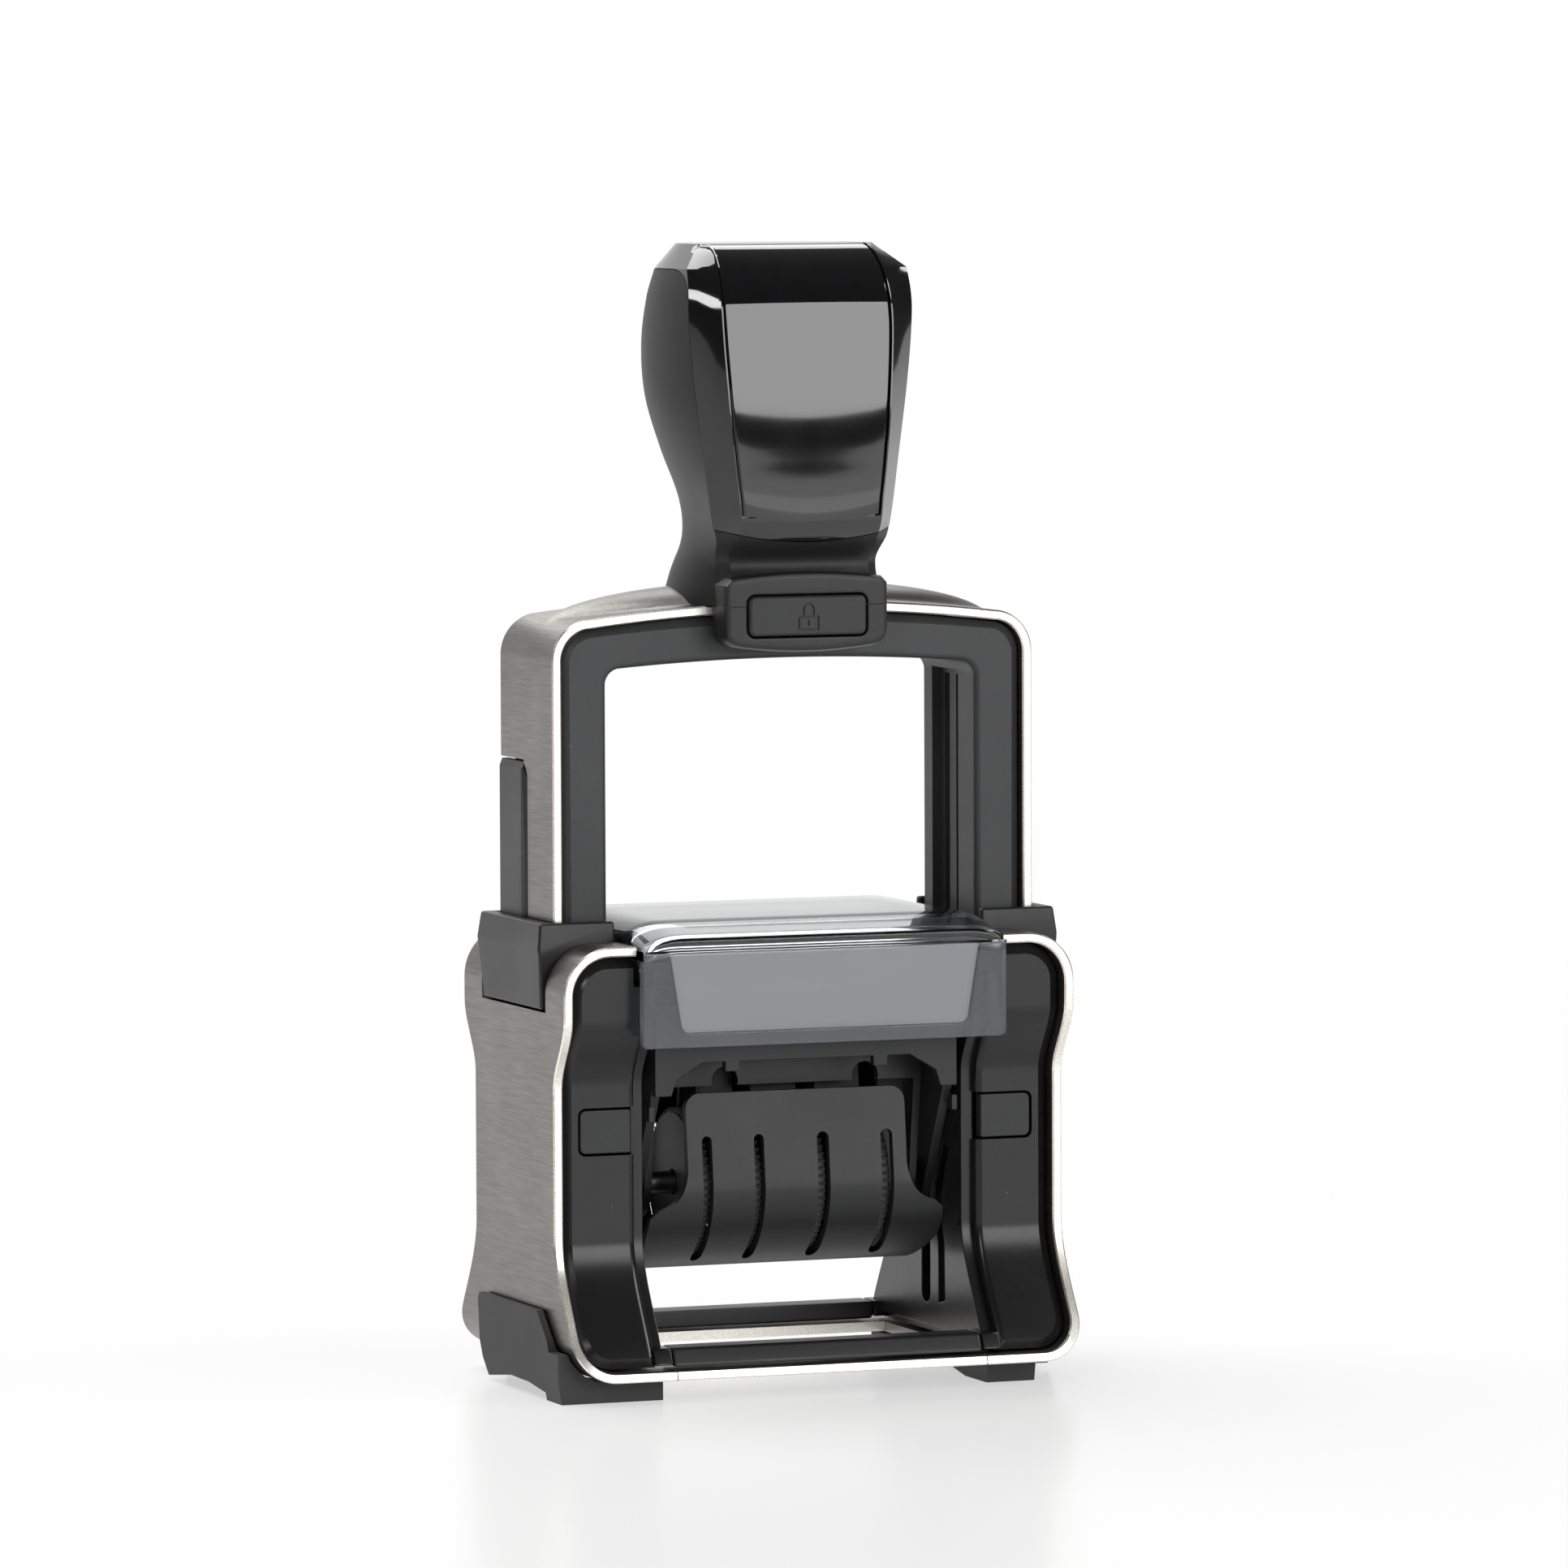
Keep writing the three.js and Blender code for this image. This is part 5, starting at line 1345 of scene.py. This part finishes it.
ring_of_teeth.label, ring_of_teeth.location = "one point for each tooth", (-850, 100)
links.new(sizes.outputs["Teeth"], ring_of_teeth.inputs["Vertices"])
links.new(sizes.outputs["Rim Radius"], ring_of_teeth.inputs["Radius"])
ridge = nodes.new("GeometryNodeMeshCone")
ridge.label, ridge.location = "a ridge with a sharp back", (-850, -150)
ridge.inputs["Vertices"].default_value = 3
links.new(sizes.outputs["Tooth Height"], ridge.inputs["Radius Top"])
links.new(sizes.outputs["Tooth Height"], ridge.inputs["Radius Bottom"])
links.new(sizes.outputs["Width"], ridge.inputs["Depth"])
centred = nodes.new("ShaderNodeVectorMath")
centred.label, centred.location, centred.operation = "half of its width down", (-850, -450), "SCALE"
centred.inputs[0].default_value = (0, 0, -0.5)
links.new(sizes.outputs["Width"], centred.inputs["Scale"])
middle = nodes.new("GeometryNodeTransform")
middle.label, middle.location = "middle of the ridge on its point", (-600, -200)
links.new(ridge.outputs["Mesh"], middle.inputs["Geometry"])
links.new(centred.outputs["Vector"], middle.inputs["Translation"])
number = nodes.new("GeometryNodeInputIndex")
number.label, number.location = "number of the tooth", (-850, -650)
pitch = nodes.new("ShaderNodeMath")
pitch.label, pitch.location, pitch.operation = "a full turn shared out", (-850, -750), "DIVIDE"
pitch.inputs[0].default_value = 2 * pi
links.new(sizes.outputs["Teeth"], pitch.inputs[1])
angle = nodes.new("ShaderNodeMath")
angle.label, angle.location, angle.operation = "angle of the tooth", (-650, -650), "MULTIPLY"
links.new(number.outputs["Index"], angle.inputs[0])
links.new(pitch.outputs["Value"], angle.inputs[1])
facing = nodes.new("ShaderNodeCombineXYZ")
facing.label, facing.location = "turn about the axle", (-450, -650)
links.new(angle.outputs["Value"], facing.inputs["Z"])
toothed = nodes.new("GeometryNodeInstanceOnPoints")
toothed.label, toothed.location = "ridges round the rim", (-350, 0)
links.new(ring_of_teeth.outputs["Mesh"], toothed.inputs["Points"])
links.new(middle.outputs["Geometry"], toothed.inputs["Instance"])
links.new(facing.outputs["Vector"], toothed.inputs["Rotation"])
upright = nodes.new("GeometryNodeTransform")
upright.label, upright.location = "lay the ring across the stamp", (-150, 0)
upright.inputs["Rotation"].default_value = (0, pi / 2, 0)
links.new(toothed.outputs["Instances"], upright.inputs["Geometry"])
links.new(sizes.outputs["Middle"], upright.inputs["Translation"])
whole = nodes.new("GeometryNodeJoinGeometry")
whole.label, whole.location = "disc and ridges", (50, 0)
links.new(upright.outputs["Geometry"], whole.inputs["Geometry"])
links.new(sizes.outputs["Disc"], whole.inputs["Geometry"])
real = nodes.new("GeometryNodeRealizeInstances")
real.label, real.location = "one mesh", (250, 0)
links.new(whole.outputs["Geometry"], real.inputs["Geometry"])
plastic = nodes.new("GeometryNodeSetMaterial")
plastic.label, plastic.location = "black plastic", (450, 0)
links.new(real.outputs["Geometry"], plastic.inputs["Geometry"])
links.new(sizes.outputs["Plastic"], plastic.inputs["Material"])
made_wheel = nodes.new("NodeGroupOutput")
made_wheel.label, made_wheel.location = "wheel", (650, 0)
links.new(plastic.outputs["Geometry"], made_wheel.inputs["Wheel"])

# Lighter grey than the other black plastic: a painted highlight standing for the light caught by the teeth.
wheel_black_painted_sheen = moulded_plastic("wheel_black_painted_sheen", (0.085, 0.085, 0.087), 0.55, 5200, 0.00002)
for i, (x, hub_end) in enumerate(zip(WHEEL_X, HUB_ENDS), 1):
    profile = [(x - DISC_HALF, BORE_RADIUS), (x - DISC_HALF, DISC_RADIUS), (x - 0.6, RIM_RADIUS),
               (x + 0.6, RIM_RADIUS), (x + DISC_HALF, DISC_RADIUS), (x + DISC_HALF, HUB_RADIUS),
               (hub_end, HUB_RADIUS), (hub_end, BORE_RADIUS)]
    wheel = turned("x", (0, AXLE_Z), profile, 80)
    bore = turned("x", (0, AXLE_Z), [(x - 3, BORE_RADIUS - 0.05), (hub_end + 3, BORE_RADIUS - 0.05)])
    combine(wheel, "DIFFERENCE", bore)
    shade(wheel)
    step = wheel.modifiers.new("knurl", "NODES")
    step.node_group = knurl
    for title, value in (("Rim Radius", (RIM_RADIUS + 0.02) * MM), ("Width", 1.5 * MM),
                         ("Tooth Height", TOOTH * MM), ("Teeth", TEETH),
                         ("Middle", (x * MM, 0, AXLE_Z * MM)), ("Plastic", wheel_black_painted_sheen)):
        step[knurl_inputs[title]] = value
    bake(wheel)
    keep(wheel, f"thumb_wheel_{i}", f"wheel_{i}", "black_moulding", [wheel_black_painted_sheen], f"date_wheel_{i}")

# ---------------------------------------------------------------- date bands
# Four rubber bands print the day, the month and the year. Each runs from its wheel's hub over the comb bar,
# and its outer face is left plain here, without the figures that it prints.

for i in range(1, 5):
    round_and_keep(from_frame(f"date_band_{i}"), 0.15, 2, f"band_{i}", "print_unit", "print_rubber",
                   [rubber], f"date_band_{i}")

# ---------------------------------------------------------------- wheel covers
# A curved cover clips over the wheels at the front and the rear of the print unit. Its four slots leave the
# wheels' rims open to the thumb.

SLOT_HALF, SLOT_FOOT, SLOT_HEAD = (0.7, 0.7, 0.85, 0.85), 16.2, 33.2
SHELL_RADIUS, SHELL_INSIDE, SHELL_TOP, SHELL_HALF = 11.2, 10, 38.8, 20.8

shell_side = line((-9.86, SHELL_TOP), (-SHELL_RADIUS, AXLE_Z), 12)
shell_side += arc(0, AXLE_Z, SHELL_RADIUS, 180, 266, 34)
shell_side += arc(0, AXLE_Z, SHELL_INSIDE, 266, 180, 34) + [(-8.7, SHELL_TOP)]
shell_front = [(-17.6, 13), (17.6, 13), (19.4, 16.2), (20.6, 18.4), (SHELL_HALF, 20), (20.6, 22.6)]
shell_front += bend((19.4, 23.6), (15.9, 24.2), (15.4, 28.6), 10) + arc(13.4, 36.8, 2, 0, 90, 7)
shell_front += [(-x, z) for x, z in reversed(shell_front)]

for name, face in FACES:
    shell = prism("x", [(-face * y, z) for y, z in shell_side], -SHELL_HALF, SHELL_HALF)
    combine(shell, "INTERSECT", prism("y", shell_front, -20, 20))
    for x, half in zip(WHEEL_X, SLOT_HALF):
        slot = arc(x, SLOT_HEAD - half, half, 0, 180, 8) + arc(x, SLOT_FOOT + half, half, 180, 360, 8)
        combine(shell, "DIFFERENCE", prism("y", slot, face * 20, 0))
    combine(shell, "DIFFERENCE", prism("z", [(-0.6, 0), (0.6, 0), (0, face * 1.6)], 13, 17))
    soften(shell, 0.3, 2, 40)
    shade(shell)
    keep(shell, f"wheel_cover_{name}", "print_unit", "black_moulding", [housing_black],
         f"{name}_wheel_cover")

bpy.context.view_layer.update()
